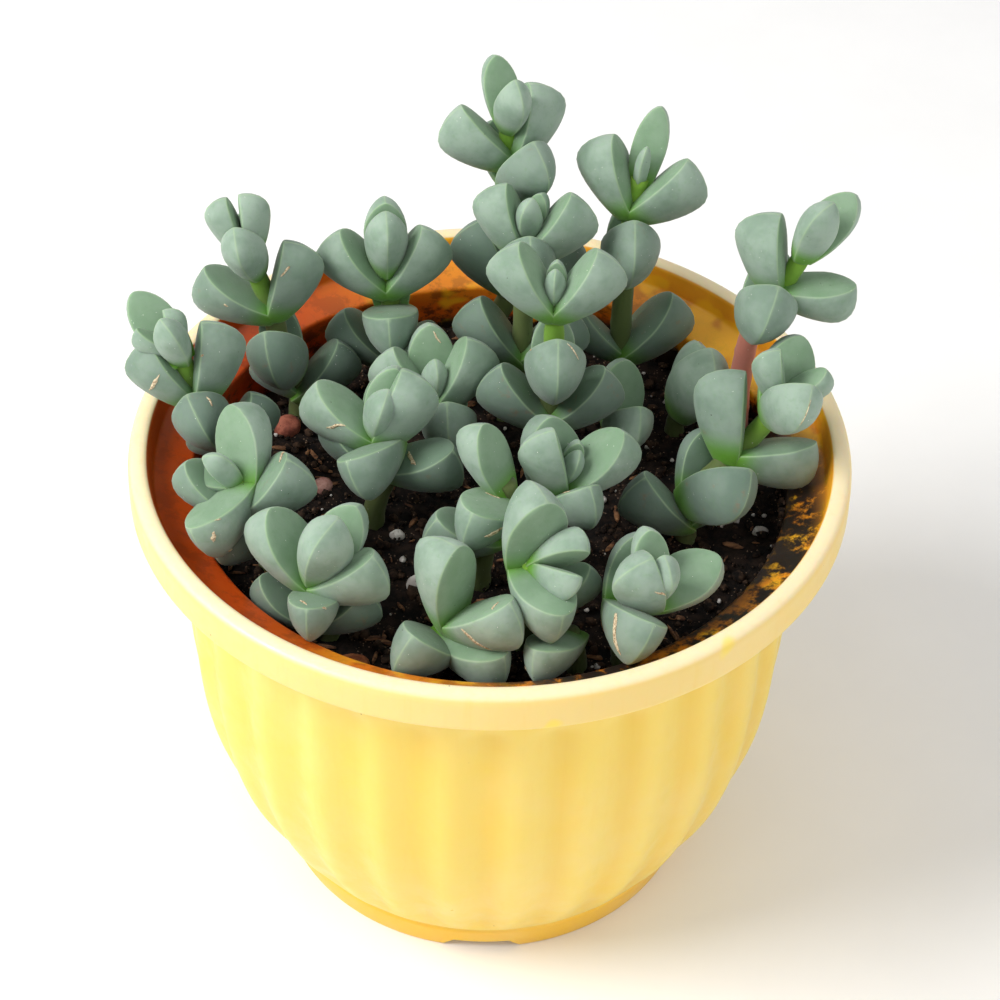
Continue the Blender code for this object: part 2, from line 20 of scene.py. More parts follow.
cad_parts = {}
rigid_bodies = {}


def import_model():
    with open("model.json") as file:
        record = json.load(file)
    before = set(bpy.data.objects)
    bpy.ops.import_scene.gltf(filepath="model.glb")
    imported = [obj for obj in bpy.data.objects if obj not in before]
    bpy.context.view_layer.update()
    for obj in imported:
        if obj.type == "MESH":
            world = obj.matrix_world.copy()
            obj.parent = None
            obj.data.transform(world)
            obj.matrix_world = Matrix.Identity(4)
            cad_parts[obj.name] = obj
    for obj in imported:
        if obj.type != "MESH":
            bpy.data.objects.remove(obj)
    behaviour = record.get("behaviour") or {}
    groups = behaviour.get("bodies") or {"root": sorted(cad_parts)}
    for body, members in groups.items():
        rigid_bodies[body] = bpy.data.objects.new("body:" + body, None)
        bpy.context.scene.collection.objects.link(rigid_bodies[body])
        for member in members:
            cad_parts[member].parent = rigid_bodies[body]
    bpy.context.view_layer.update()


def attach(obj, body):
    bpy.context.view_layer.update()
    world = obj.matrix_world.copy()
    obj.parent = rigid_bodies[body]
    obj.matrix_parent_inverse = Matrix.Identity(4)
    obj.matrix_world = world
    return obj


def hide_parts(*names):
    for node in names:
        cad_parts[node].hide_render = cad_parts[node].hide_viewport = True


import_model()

MM = 0.001
ROUND_OFF = 1e-6
MERGE_REACH = 0.001
# The vector noise of the leaves' waves starts from the clock unless it is seeded.
WAVE_SEED = 7
log = logging.getLogger("potted_ice_plant")

Colour = tuple[float, float, float]
Edge = tuple[float, float]
Point = tuple[float, float]


class Slot(Enum):
    """The record's material slots."""

    POT = "pot"
    SOIL = "soil"
    LEAF = "leaf"
    PEBBLE = "pebble"
    PERLITE = "perlite"
    BARK = "bark"


def paint(red: int, green: int, blue: int) -> Colour:
    """Turn a display colour of 0 to 255 into scene-linear shares.

    Args:
        red: Red, 0 to 255.
        green: Green, 0 to 255.
        blue: Blue, 0 to 255.

    Returns:
        The three linear shares.
    """
    linear = []
    for share in (channel / 255.0 for channel in (red, green, blue)):
        linear.append(((share + 0.055) / 1.055) ** 2.4 if share > 0.04045 else share / 12.92)
    return tuple(linear)


def smooth(value: float, low: float, high: float) -> float:
    """Rise softly from 0 at low to 1 at high.

    Args:
        value: Where to read the rise.
        low: Where it starts.
        high: Where it ends.

    Returns:
        A share from 0 to 1.
    """
    share = min(1.0, max(0.0, (value - low) / (high - low)))
    return share * share * (3.0 - 2.0 * share)


class Cloud(NamedTuple):
    """Cloudy noise: its size in millimetres, and the values at which its share is 0 and 1.

    Detail is the number of finer layers, rough their strength, and stretch the scale along each axis.
    """

    size: float
    low: float = 0.0
    high: float = 1.0
    detail: float = 4.0
    rough: float = 0.55
    stretch: Colour = (1.0, 1.0, 1.0)


class Dots(NamedTuple):
    """Round dots: their mean distance in millimetres, their radius as a share of it, and where they are."""

    pitch: float
    radius: float
    where: Cloud


class Coat(NamedTuple):
    """A colour that lies over others, and how much of it shows where it is thickest."""

    colour: Colour
    weight: float = 1.0


class Shader:
    """A node material, with one short call for each kind of node that the finishes use."""

    dot_edge = 0.6

    def __init__(self, name: str, roughness: float) -> None:
        """Start a material that has the one principled shader.

        Args:
            name: Name of the material.
            roughness: Roughness where nothing drives it.
        """
        self.material = bpy.data.materials.new(name)
        self.material.use_nodes = True
        self.tree = self.material.node_tree
        self.surface = self.tree.nodes["Principled BSDF"]
        self.place = self.tree.nodes.new("ShaderNodeTexCoord").outputs["Object"]
        self.colour = None
        self.feed("Roughness", roughness)

    def join(self, source: object, target: bpy.types.NodeSocket) -> None:
        """Feed a socket from another socket, a colour or a number.

        Args:
            source: An output socket, a colour of three shares, or a number.
            target: The input socket.
        """
        if isinstance(source, bpy.types.NodeSocket):
            self.tree.links.new(source, target)
        elif isinstance(source, tuple):
            target.default_value = (*source, 1.0) if len(target.default_value) == 4 else source
        else:
            target.default_value = source

    def feed(self, name: str, source: object) -> None:
        """Feed one of the principled shader's own sockets."""
        self.join(source, self.surface.inputs[name])

    def node(self, kind: str, sources: dict[object, object]) -> bpy.types.Node:
        """Add a node and feed its sockets.

        Args:
            kind: Kind of node.
            sources: What feeds each socket, by the socket's name or number.

        Returns:
            The node.
        """
        node = self.tree.nodes.new("ShaderNode" + kind)
        for name, source in sources.items():
            self.join(source, node.inputs[name])
        return node

    def attribute(self, name: str) -> bpy.types.NodeSocket:
        """Read a number that the mesh keeps at its points.

        Args:
            name: Name of the number.

        Returns:
            Its value.
        """
        node = self.node("Attribute", {})
        node.attribute_name = name
        return node.outputs["Fac"]

    def grain(self, cloud: Cloud) -> bpy.types.NodeSocket:
        """Make cloudy noise on the piece's own place.

        Args:
            cloud: The noise.

        Returns:
            Its value as it is.
        """
        mapping = self.node("Mapping", {"Vector": self.place, "Scale": cloud.stretch})
        sources = {"Vector": mapping.outputs["Vector"], "Scale": 1.0 / (cloud.size * MM),
                   "Detail": cloud.detail, "Roughness": cloud.rough}
        return self.node("TexNoise", sources).outputs["Fac"]

    def share(self, cloud: Cloud) -> bpy.types.NodeSocket:
        """Cloudy noise that rises from 0 at its low value to 1 at its high one."""
        return self.ramp(self.grain(cloud), cloud.low, cloud.high)

    def dots(self, dots: Dots) -> bpy.types.NodeSocket:
        """Scatter round dots.

        Args:
            dots: The dots.

        Returns:
            1 inside a dot and 0 outside it.
        """
        cells = self.node("TexVoronoi", {"Vector": self.place, "Scale": 1.0 / (dots.pitch * MM)})
        inside = self.ramp(cells.outputs["Distance"], dots.radius, dots.radius * self.dot_edge)
        return self.times(inside, self.share(dots.where))

    def ramp(self, value: object, low: float, high: float) -> bpy.types.NodeSocket:
        """Rise softly from 0 at low to 1 at high; low may be the greater.

        Args:
            value: The number to read.
            low: Where the result is 0.
            high: Where the result is 1.

        Returns:
            The share.
        """
        ends = (low, high, 0.0, 1.0) if low < high else (high, low, 1.0, 0.0)
        names = ("From Min", "From Max", "To Min", "To Max")
        node = self.node("MapRange", {"Value": value, **dict(zip(names, ends))})
        node.interpolation_type = "SMOOTHSTEP"
        return node.outputs["Result"]

    def times(self, first: object, second: object) -> bpy.types.NodeSocket:
        """Multiply two numbers.

        Args:
            first: A number or a socket.
            second: Another one.

        Returns:
            The product.
        """
        node = self.node("Math", {0: first, 1: second})
        node.operation = "MULTIPLY"
        return node.outputs["Value"]

    def over(self, share: object, under: object, above: object) -> bpy.types.NodeSocket:
        """Lay one colour over another.

        Args:
            share: How much of the upper colour shows.
            under: The colour below.
            above: The colour above.

        Returns:
            The mixed colour.
        """
        node = self.node("Mix", {})
        node.data_type = "RGBA"
        colours = [socket for socket in node.inputs if socket.type == "RGBA"]
        self.join(share, node.inputs["Factor"])
        self.join(under, colours[0])
        self.join(above, colours[1])
        return next(socket for socket in node.outputs if socket.type == "RGBA")

    def coat(self, coat: Coat, share: object) -> None:
        """Lay a coat over the surface's colour.

        Args:
            coat: The coat.
            share: Where it lies, from 0 to 1.
        """
        if coat.weight < 1.0:
            share = self.times(share, coat.weight)
        self.colour = self.over(share, self.colour, coat.colour)

    def axis(self, letter: str) -> bpy.types.NodeSocket:
        """Read one coordinate of the piece's own place.

        Args:
            letter: X, Y or Z.

        Returns:
            The coordinate in metres.
        """
        return self.node("SeparateXYZ", {"Vector": self.place}).outputs[letter]

    def relief(self, height: object, depth: float) -> None:
        """Give the surface a fine relief.

        Args:
            height: The relief's pattern, 0 to 1.
            depth: Its height in millimetres.
        """
        node = self.node("Bump", {"Strength": 1.0, "Distance": depth * MM, "Height": height})
        for link in self.surface.inputs["Normal"].links:
            self.join(link.from_socket, node.inputs["Normal"])
        self.feed("Normal", node.outputs["Normal"])

    def soft(self, weight: float, reach: float, tint: Colour) -> None:
        """Let light spread under the surface.

        Args:
            weight: Share of the light that spreads.
            reach: How far it goes, in millimetres.
            tint: How far each colour goes, as a share of the reach.
        """
        self.feed("Subsurface Weight", weight)
        self.feed("Subsurface Scale", reach * MM)
        self.feed("Subsurface Radius", tint)


class Finish(ABC):
    """A look that can be made into a material."""

    roughness: float

    @abstractmethod
    def cover(self, skin: Shader) -> None:
        """Lay the finish's coats and relief on a shader."""

    def material(self, name: str) -> bpy.types.Material:
        """Make the finish's material.

        Args:
            name: Name of the material.

        Returns:
            The material.
        """
        skin = Shader(name, self.roughness)
        self.cover(skin)
        skin.feed("Base Color", skin.colour)
        return skin.material


@dataclass(frozen=True)
class LeafWax(Finish):
    """Thick leaf skin under a blue-grey bloom, greener inside and at the base, with pale ridges."""

    bloom: Colour = paint(152, 172, 156)
    shade: Coat = Coat(paint(108, 135, 114), 0.55)
    inner: Coat = Coat(paint(114, 148, 108), 0.55)
    old: Coat = Coat(paint(80, 100, 89), 0.7)
    rubbed: Coat = Coat(inner.colour, 0.22)
    base: Coat = Coat(paint(92, 146, 40))
    rust: Coat = Coat(paint(136, 108, 84), 0.55)
    ridge: Coat = Coat(paint(166, 190, 150), 0.5)
    young_stem: Colour = paint(120, 164, 58)
    old_stem: Colour = paint(92, 106, 60)
    blush: Colour = paint(190, 120, 104)
    pale_dot: Coat = Coat(paint(238, 240, 228))
    dark_dot: Coat = Coat(paint(60, 62, 48))
    shading: Cloud = Cloud(7.0, 0.35, 0.68, 3.0)
    rubbing: Cloud = Cloud(1.6, 0.52, 0.72, 5.0, 0.7)
    rusting: Cloud = Cloud(4.0, 0.60, 0.74, 5.0, 0.65)
    pale_dots: Dots = Dots(1.3, 0.075, Cloud(3.0, 0.50, 0.60, 1.0))
    dark_dots: Dots = Dots(3.1, 0.06, Cloud(5.5, 0.60, 0.66, 1.0))
    pores: Cloud = Cloud(0.5, detail=3.0)
    pore_depth: float = 0.035
    dents: Cloud = Cloud(3.5, detail=2.0)
    dent_depth: float = 0.12
    roughness: float = 0.62
    rough_low: float = -2.2
    rough_high: float = 1.8
    soft_weight: float = 0.18
    soft_reach: float = 2.2
    soft_tint: Colour = (0.5, 1.0, 0.35)
    sheen: float = 0.12
    sheen_roughness: float = 0.5
    shine: float = 0.18

    def cover(self, skin: Shader) -> None:
        """Lay the bloom, the coats over it and the fine relief.

        Args:
            skin: The leaf's shader.
        """
        age = skin.attribute("age")
        rub = skin.share(self.rubbing)
        skin.colour = self.bloom
        skin.coat(self.shade, skin.share(self.shading))
        skin.coat(self.inner, skin.attribute("inner"))
        skin.coat(self.old, age)
        skin.coat(self.rubbed, rub)
        skin.coat(self.base, skin.attribute("base"))
        skin.coat(self.rust, skin.times(age, skin.share(self.rusting)))
        skin.coat(self.ridge, skin.attribute("ridge"))
        wood = skin.over(skin.attribute("blush"), self.old_stem, self.blush)
        stem = skin.over(age, self.young_stem, wood)
        skin.colour = skin.over(skin.attribute("stem"), skin.colour, stem)
        skin.coat(self.pale_dot, skin.dots(self.pale_dots))
        skin.coat(self.dark_dot, skin.dots(self.dark_dots))
        skin.feed("Roughness", skin.ramp(rub, self.rough_low, self.rough_high))
        skin.relief(skin.grain(self.pores), self.pore_depth)
        skin.relief(skin.grain(self.dents), self.dent_depth)
        skin.soft(self.soft_weight, self.soft_reach, self.soft_tint)
        skin.feed("Sheen Weight", self.sheen)
        skin.feed("Sheen Roughness", self.sheen_roughness)
        skin.feed("Specular IOR Level", self.shine)


@dataclass(frozen=True)
class Cork(Finish):
    """Dry corky scar on a leaf: beige, in ragged fibres."""

    pale: Colour = paint(226, 212, 178)
    dark: Coat = Coat(paint(140, 100, 66))
    fibres: Cloud = Cloud(0.5, 0.40, 0.66, 6.0, 0.75)
    depth: float = 0.12
    roughness: float = 0.85

    def cover(self, skin: Shader) -> None:
        """Lay the fibres on the scar.

        Args:
            skin: The scar's shader.
        """
        fibres = skin.grain(self.fibres)
        skin.colour = self.pale
        skin.coat(self.dark, skin.ramp(fibres, self.fibres.low, self.fibres.high))
        skin.relief(fibres, self.depth)


@dataclass(frozen=True)
class PotPlastic(Finish):
    """Yellow moulded plastic: creamy at the lip, golden at the foot, with painted shade in the flutes and a
    painted orange glow of light and painted shade inside.

    The edges are where a blend starts and ends along an axis, in metres.
    """

    foot: Colour = paint(238, 188, 52)
    body: Coat = Coat(paint(242, 211, 98))
    body_edge: Edge = (0.0072, 0.0084)
    collar: Coat = Coat(paint(242, 212, 130))
    collar_edge: Edge = (0.098, 0.110)
    lip: Coat = Coat(paint(244, 226, 184))
    lip_edge: Edge = (0.1145, 0.1158)
    # Painted shade: a deeper yellow in the valleys of the flutes, stronger on one side of each, where less
    # light falls.
    flute_shade: Coat = Coat(paint(235, 191, 66), 0.8)
    haze: Coat = Coat(lip.colour, 0.16)
    hazing: Cloud = Cloud(26.0, 0.40, 0.85, 3.0)
    chip: Coat = Coat(paint(250, 222, 50), 0.6)
    chipping: Cloud = Cloud(17.0, 0.68, 0.72, 1.0, 0.5)
    chip_edge: Edge = (0.104, 0.108)
    streak: Coat = Coat(foot, 0.10)
    streaks: Cloud = Cloud(2.2, 0.50, 0.75, 4.0, 0.6, (1.0, 1.0, 0.12))
    streak_depth: float = 0.03
    scuff: Coat = Coat(paint(84, 34, 12))
    scuffs: Dots = Dots(6.0, 0.035, Cloud(12.0, 0.5, 0.6, 1.0))
    # Painted light and shade: the inside is an orange glow of light through the wall, deeper orange as
    # painted shade lower down and on the left.
    inside_glow: Colour = paint(240, 168, 38)
    inside_low_shade: Coat = Coat(paint(218, 104, 14))
    inside_shade_edge: Edge = (0.1155, 0.100)
    inside_left_shade: Coat = Coat(paint(196, 56, 4), 0.85)
    left_shade_edge: Edge = (0.0, -0.055)
    stain: Coat = Coat(scuff.colour, 0.85)
    staining: Cloud = Cloud(6.0, 0.48, 0.60, 6.0, 0.7, (1.0, 1.0, 1.5))
    stain_edge: Edge = (0.1145, 0.099)
    # Painted light: bright yellow patches towards the right of the inside wall stand for light shining
    # through the plastic.
    glow_patch: Coat = Coat(paint(248, 190, 34), 0.75)
    glow_patches: Cloud = Cloud(13.0, 0.50, 0.58, 2.0, 0.5, (1.0, 1.0, 1.6))
    glow_patch_edge: Edge = (-0.045, -0.010)
    mud: Coat = Coat(paint(34, 24, 19))
    smearing: Cloud = Cloud(7.0, 0.38, 0.52, 7.0, 0.72)
    thin_mud: Edge = (0.0, 0.5)
    thick_mud: Edge = (0.55, 0.95)
    dulling: Cloud = Cloud(8.0, -0.6, 1.9, 5.0, 0.6)
    pores: Cloud = Cloud(1.2)
    pore_depth: float = 0.04
    roughness: float = 0.42
    soft_weight: float = 0.25
    soft_reach: float = 3.0
    soft_tint: Colour = (1.0, 0.55, 0.12)

    def outside(self, skin: Shader, streaks: bpy.types.NodeSocket) -> None:
        """Lay the bands of colour, the painted shade in the flutes, the haze, the chips, the streaks and
        the scuffs.

        Args:
            skin: The pot's shader.
            streaks: The noise of the streaks.
        """
        height = skin.axis("Z")
        skin.colour = self.foot
        skin.coat(self.body, skin.ramp(height, *self.body_edge))
        skin.coat(self.collar, skin.ramp(height, *self.collar_edge))
        skin.coat(self.lip, skin.ramp(height, *self.lip_edge))
        # Painted shade in the valleys of the flutes.
        skin.coat(self.flute_shade, skin.attribute("flute_shade"))
        skin.coat(self.haze, skin.share(self.hazing))
        skin.coat(self.chip, skin.times(skin.share(self.chipping), skin.ramp(height, *self.chip_edge)))
        skin.coat(self.streak, skin.ramp(streaks, self.streaks.low, self.streaks.high))
        skin.coat(self.scuff, skin.dots(self.scuffs))

    def inside(self, skin: Shader) -> None:
        """Lay the painted orange glow, the painted shade low down and on the left, the stains, the painted
        bright patches of light and the mud of the inside.

        Args:
            skin: The pot's shader.
        """
        height, side, mud = skin.axis("Z"), skin.axis("X"), skin.attribute("mud")
        # Painted light and shade: an orange glow of light through the wall, deeper orange as painted shade
        # lower down and on the left.
        skin.colour = self.inside_glow
        skin.coat(self.inside_low_shade, skin.ramp(height, *self.inside_shade_edge))
        skin.coat(self.inside_left_shade, skin.ramp(side, *self.left_shade_edge))
        skin.coat(self.stain, skin.times(skin.share(self.staining), skin.ramp(height, *self.stain_edge)))
        # Painted light: bright patches of light through the wall, towards the right.
        skin.coat(self.glow_patch, skin.times(skin.share(self.glow_patches), skin.ramp(side, *self.glow_patch_edge)))
        skin.coat(self.mud, skin.times(skin.share(self.smearing), skin.ramp(mud, *self.thin_mud)))
        skin.coat(self.mud, skin.ramp(mud, *self.thick_mud))

    def cover(self, skin: Shader) -> None:
        """Paint the outside and the inside, and lay the fine relief.

        Args:
            skin: The pot's shader.
        """
        streaks = skin.grain(self.streaks)
        self.outside(skin, streaks)
        outside = skin.colour
        self.inside(skin)
        skin.colour = skin.over(skin.attribute("inside"), outside, skin.colour)
        skin.feed("Roughness", skin.share(self.dulling))
        skin.relief(skin.grain(self.pores), self.pore_depth)
        skin.relief(streaks, self.streak_depth)
        skin.soft(self.soft_weight, self.soft_reach, self.soft_tint)


@dataclass(frozen=True)
class PottingMix(Finish):
    """Dark peat with fine lighter grit."""

    wet: Colour = paint(12, 9, 8)
    peat: Coat = Coat(paint(46, 34, 27))
    grit: Coat = Coat(paint(132, 110, 92), 0.8)
    lumps: Cloud = Cloud(3.0, 0.40, 0.64, 8.0, 0.7)
    specks: Dots = Dots(0.9, 0.26, Cloud(4.0, 0.46, 0.58, 2.0))
    depth: float = 0.6
    roughness: float = 0.93
    shine: float = 0.25

    def cover(self, skin: Shader) -> None:
        """Lay the peat, the grit and the lumps.

        Args:
            skin: The soil's shader.
        """
        lumps = skin.grain(self.lumps)
        skin.colour = self.wet
        skin.coat(self.peat, skin.ramp(lumps, self.lumps.low, self.lumps.high))
        skin.coat(self.grit, skin.dots(self.specks))
        skin.relief(lumps, self.depth)
        skin.feed("Specular IOR Level", self.shine)


@dataclass(frozen=True)
class Mineral(Finish):
    """A stone or grain: a main colour, clouds of a second, and pits."""

    main: Colour
    second: Coat
    pit: Coat
    clouds: Cloud = Cloud(2.4, 0.40, 0.62, 6.0, 0.65)
    pits: Dots = Dots(0.8, 0.28, Cloud(2.0, 0.42, 0.6, 2.0))
    depth: float = 0.15
    roughness: float = 0.85

    def cover(self, skin: Shader) -> None:
        """Lay the clouds and the pits.

        Args:
            skin: The stone's shader.
        """
        clouds = skin.grain(self.clouds)
        skin.colour = self.main
        skin.coat(self.second, skin.ramp(clouds, self.clouds.low, self.clouds.high))
        skin.coat(self.pit, skin.dots(self.pits))
        skin.relief(clouds, self.depth)


@dataclass(frozen=True)
class PaleFloor(Finish):
    """A plain pale floor with the faintest mottling."""

    tone: Colour = (0.93, 0.93, 0.93)
    mottle: Coat = Coat((0.91, 0.91, 0.91))
    mottling: Cloud = Cloud(40.0, 0.3, 0.7)
    roughness: float = 0.7

    def cover(self, skin: Shader) -> None:
        """Lay the mottling."""
        skin.colour = self.tone
        skin.coat(self.mottle, skin.share(self.mottling))


PERLITE = Mineral(paint(236, 232, 226), Coat(paint(196, 190, 184)), Coat(paint(120, 112, 106), 0.7),
                  depth=0.2)
BARK = Mineral(paint(150, 106, 70), Coat(paint(84, 52, 34)), Coat(paint(196, 150, 104), 0.7),
               Cloud(1.6, 0.40, 0.62, 6.0, 0.65, (0.35, 1.6, 1.6)),
               Dots(1.4, 0.28, Cloud(2.0, 0.42, 0.6, 2.0)), 0.25)
CLAY = Mineral(paint(178, 104, 82), Coat(paint(140, 74, 58)), Coat(paint(96, 52, 44), 0.7))
ROSE = Mineral(paint(206, 160, 148), Coat(paint(176, 122, 112)), Coat(paint(120, 84, 78), 0.7))
AMBER = Mineral(paint(196, 118, 74), Coat(paint(150, 82, 50)), Coat(paint(96, 56, 40), 0.7))
CRUMB_MIX = PottingMix(paint(18, 13, 11), Coat(paint(82, 62, 48)), Coat(paint(168, 140, 112), 0.8))


def make_piece(name: str, shape: bmesh.types.BMesh,
               materials: Iterable[bpy.types.Material]) -> bpy.types.Object:
    """Turn a bmesh in millimetres into a smooth-shaded object in metres.

    Args:
        name: Name of the piece.
        shape: The mesh, which is freed.
        materials: The piece's materials, in the order of its faces' indices.

    Returns:
        The new object.
    """
    bmesh.ops.scale(shape, vec=(MM, MM, MM), verts=shape.verts)
    mesh = bpy.data.meshes.new(name)
    shape.to_mesh(mesh)
    shape.free()
    piece = bpy.data.objects.new(name, mesh)
    bpy.context.scene.collection.objects.link(piece)
    for material in materials:
        mesh.materials.append(material)
    mesh.shade_smooth()
    return piece


def declare(piece: bpy.types.Object, slot: Slot, *nodes: str) -> None:
    """Say which body a piece rides on and which nodes it stands for.

    Args:
        piece: The piece.
        slot: Its material slot; not used.
        nodes: The nodes of the part that it replaces.
    """
    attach(piece, "root")
    if nodes:
        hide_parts(*nodes)
    log.info("%s: %d faces", piece.name, len(piece.data.polygons))


def across(direction: Vector) -> tuple[Vector, Vector]:
    """Find two unit vectors across a stem.

    Args:
        direction: The stem's direction.

    Returns:
        The one nearest to +X, and the one square to both.
    """
    first = (Vector((1, 0, 0)) - direction * direction.x).normalized()
    return first, direction.cross(first)


def add_ball(shape: bmesh.types.BMesh, columns: int, rows: int,
             place: Callable[[bmesh.types.BMVert, float, float], Vector]) -> list[bmesh.types.BMVert]:
    """Add a closed ball of rings and move its points.

    Args:
        shape: The mesh to add to.
        columns: Points in a ring.
        rows: Bands from end to end.
        place: Gives a point's place from the point, its share of the length and its angle round.

    Returns:
        The ball's points.
    """
    verts = bmesh.ops.create_uvsphere(shape, u_segments=columns, v_segments=rows, radius=1.0)["verts"]
    for vert in verts:
        share = 0.5 * (1.0 + min(1.0, max(-1.0, vert.co.z)))
        vert.co = place(vert, share, atan2(vert.co.y, vert.co.x))
    bmesh.ops.recalc_face_normals(shape, faces=list({face for vert in verts for face in vert.link_faces}))
    return verts


class Heap:
    """A mesh of many small shapes, gathered in batches, which is far quicker than one by one."""

    def __init__(self, batch: int = 40) -> None:
        """Start empty.

        Args:
            batch: Number of small shapes in a batch.
        """
        self.batch = batch
        self.count = 0
        self.whole = bmesh.new()
        self.part = bmesh.new()

    def next(self) -> bmesh.types.BMesh:
        """Give the mesh that the next small shape goes into."""
        self.count += 1
        if self.count % self.batch == 0:
            self.pour()
        return self.part

    def pour(self) -> bmesh.types.BMesh:
        """Move the open batch over to the whole.

        Returns:
            The whole.
        """
        mesh = bpy.data.meshes.new("batch")
        self.part.to_mesh(mesh)
        self.part.clear()
        self.whole.from_mesh(mesh)
        bpy.data.meshes.remove(mesh)
        return self.whole


def turned(profile: Sequence[Point], columns: int) -> bmesh.types.BMesh:
    """Turn a profile about the pot's axis.

    Args:
        profile: Points (radius, height) that start and end on the axis.
        columns: Steps round.

    Returns:
        The closed solid.
    """
    shape = bmesh.new()
    corners = [shape.verts.new((radius, 0.0, height)) for radius, height in profile]
    edges = [shape.edges.new(pair) for pair in zip(corners, corners[1:])]
    bmesh.ops.spin(shape, geom=corners + edges, cent=(0, 0, 0), axis=(0, 0, 1), angle=2 * pi,
                   steps=columns, use_merge=True)
    bmesh.ops.remove_doubles(shape, verts=shape.verts, dist=MERGE_REACH)
    bmesh.ops.recalc_face_normals(shape, faces=shape.faces)
    return shape


def soften(profile: Sequence[Point], reach: float, steps: int, blunt: float = radians(12.0)) -> list[Point]:
    """Round the corners of a profile.

    Args:
        profile: Points (radius, height).
        reach: How far from a corner its rounding starts, at most.
        steps: Points that the rounding of a corner takes.
        blunt: Turns below this angle stay as they are.

    Returns:
        The rounded profile.
    """
    points = [Vector(point) for point in profile]
    result = [points[0]]
    for before, corner, after in zip(points, points[1:], points[2:]):
        turn = (corner - before).angle(after - corner, 0.0)
        if turn < blunt:
            result.append(corner)
            continue
        start, end = (corner + (far - corner).normalized() * min(reach, 0.45 * (far - corner).length)
                      for far in (before, after))
        for step in range(steps):
            share = step / (steps - 1)
            result.append(start.lerp(corner, share).lerp(corner.lerp(end, share), share))
    result.append(points[-1])
    return [(point.x, point.y) for point in result]


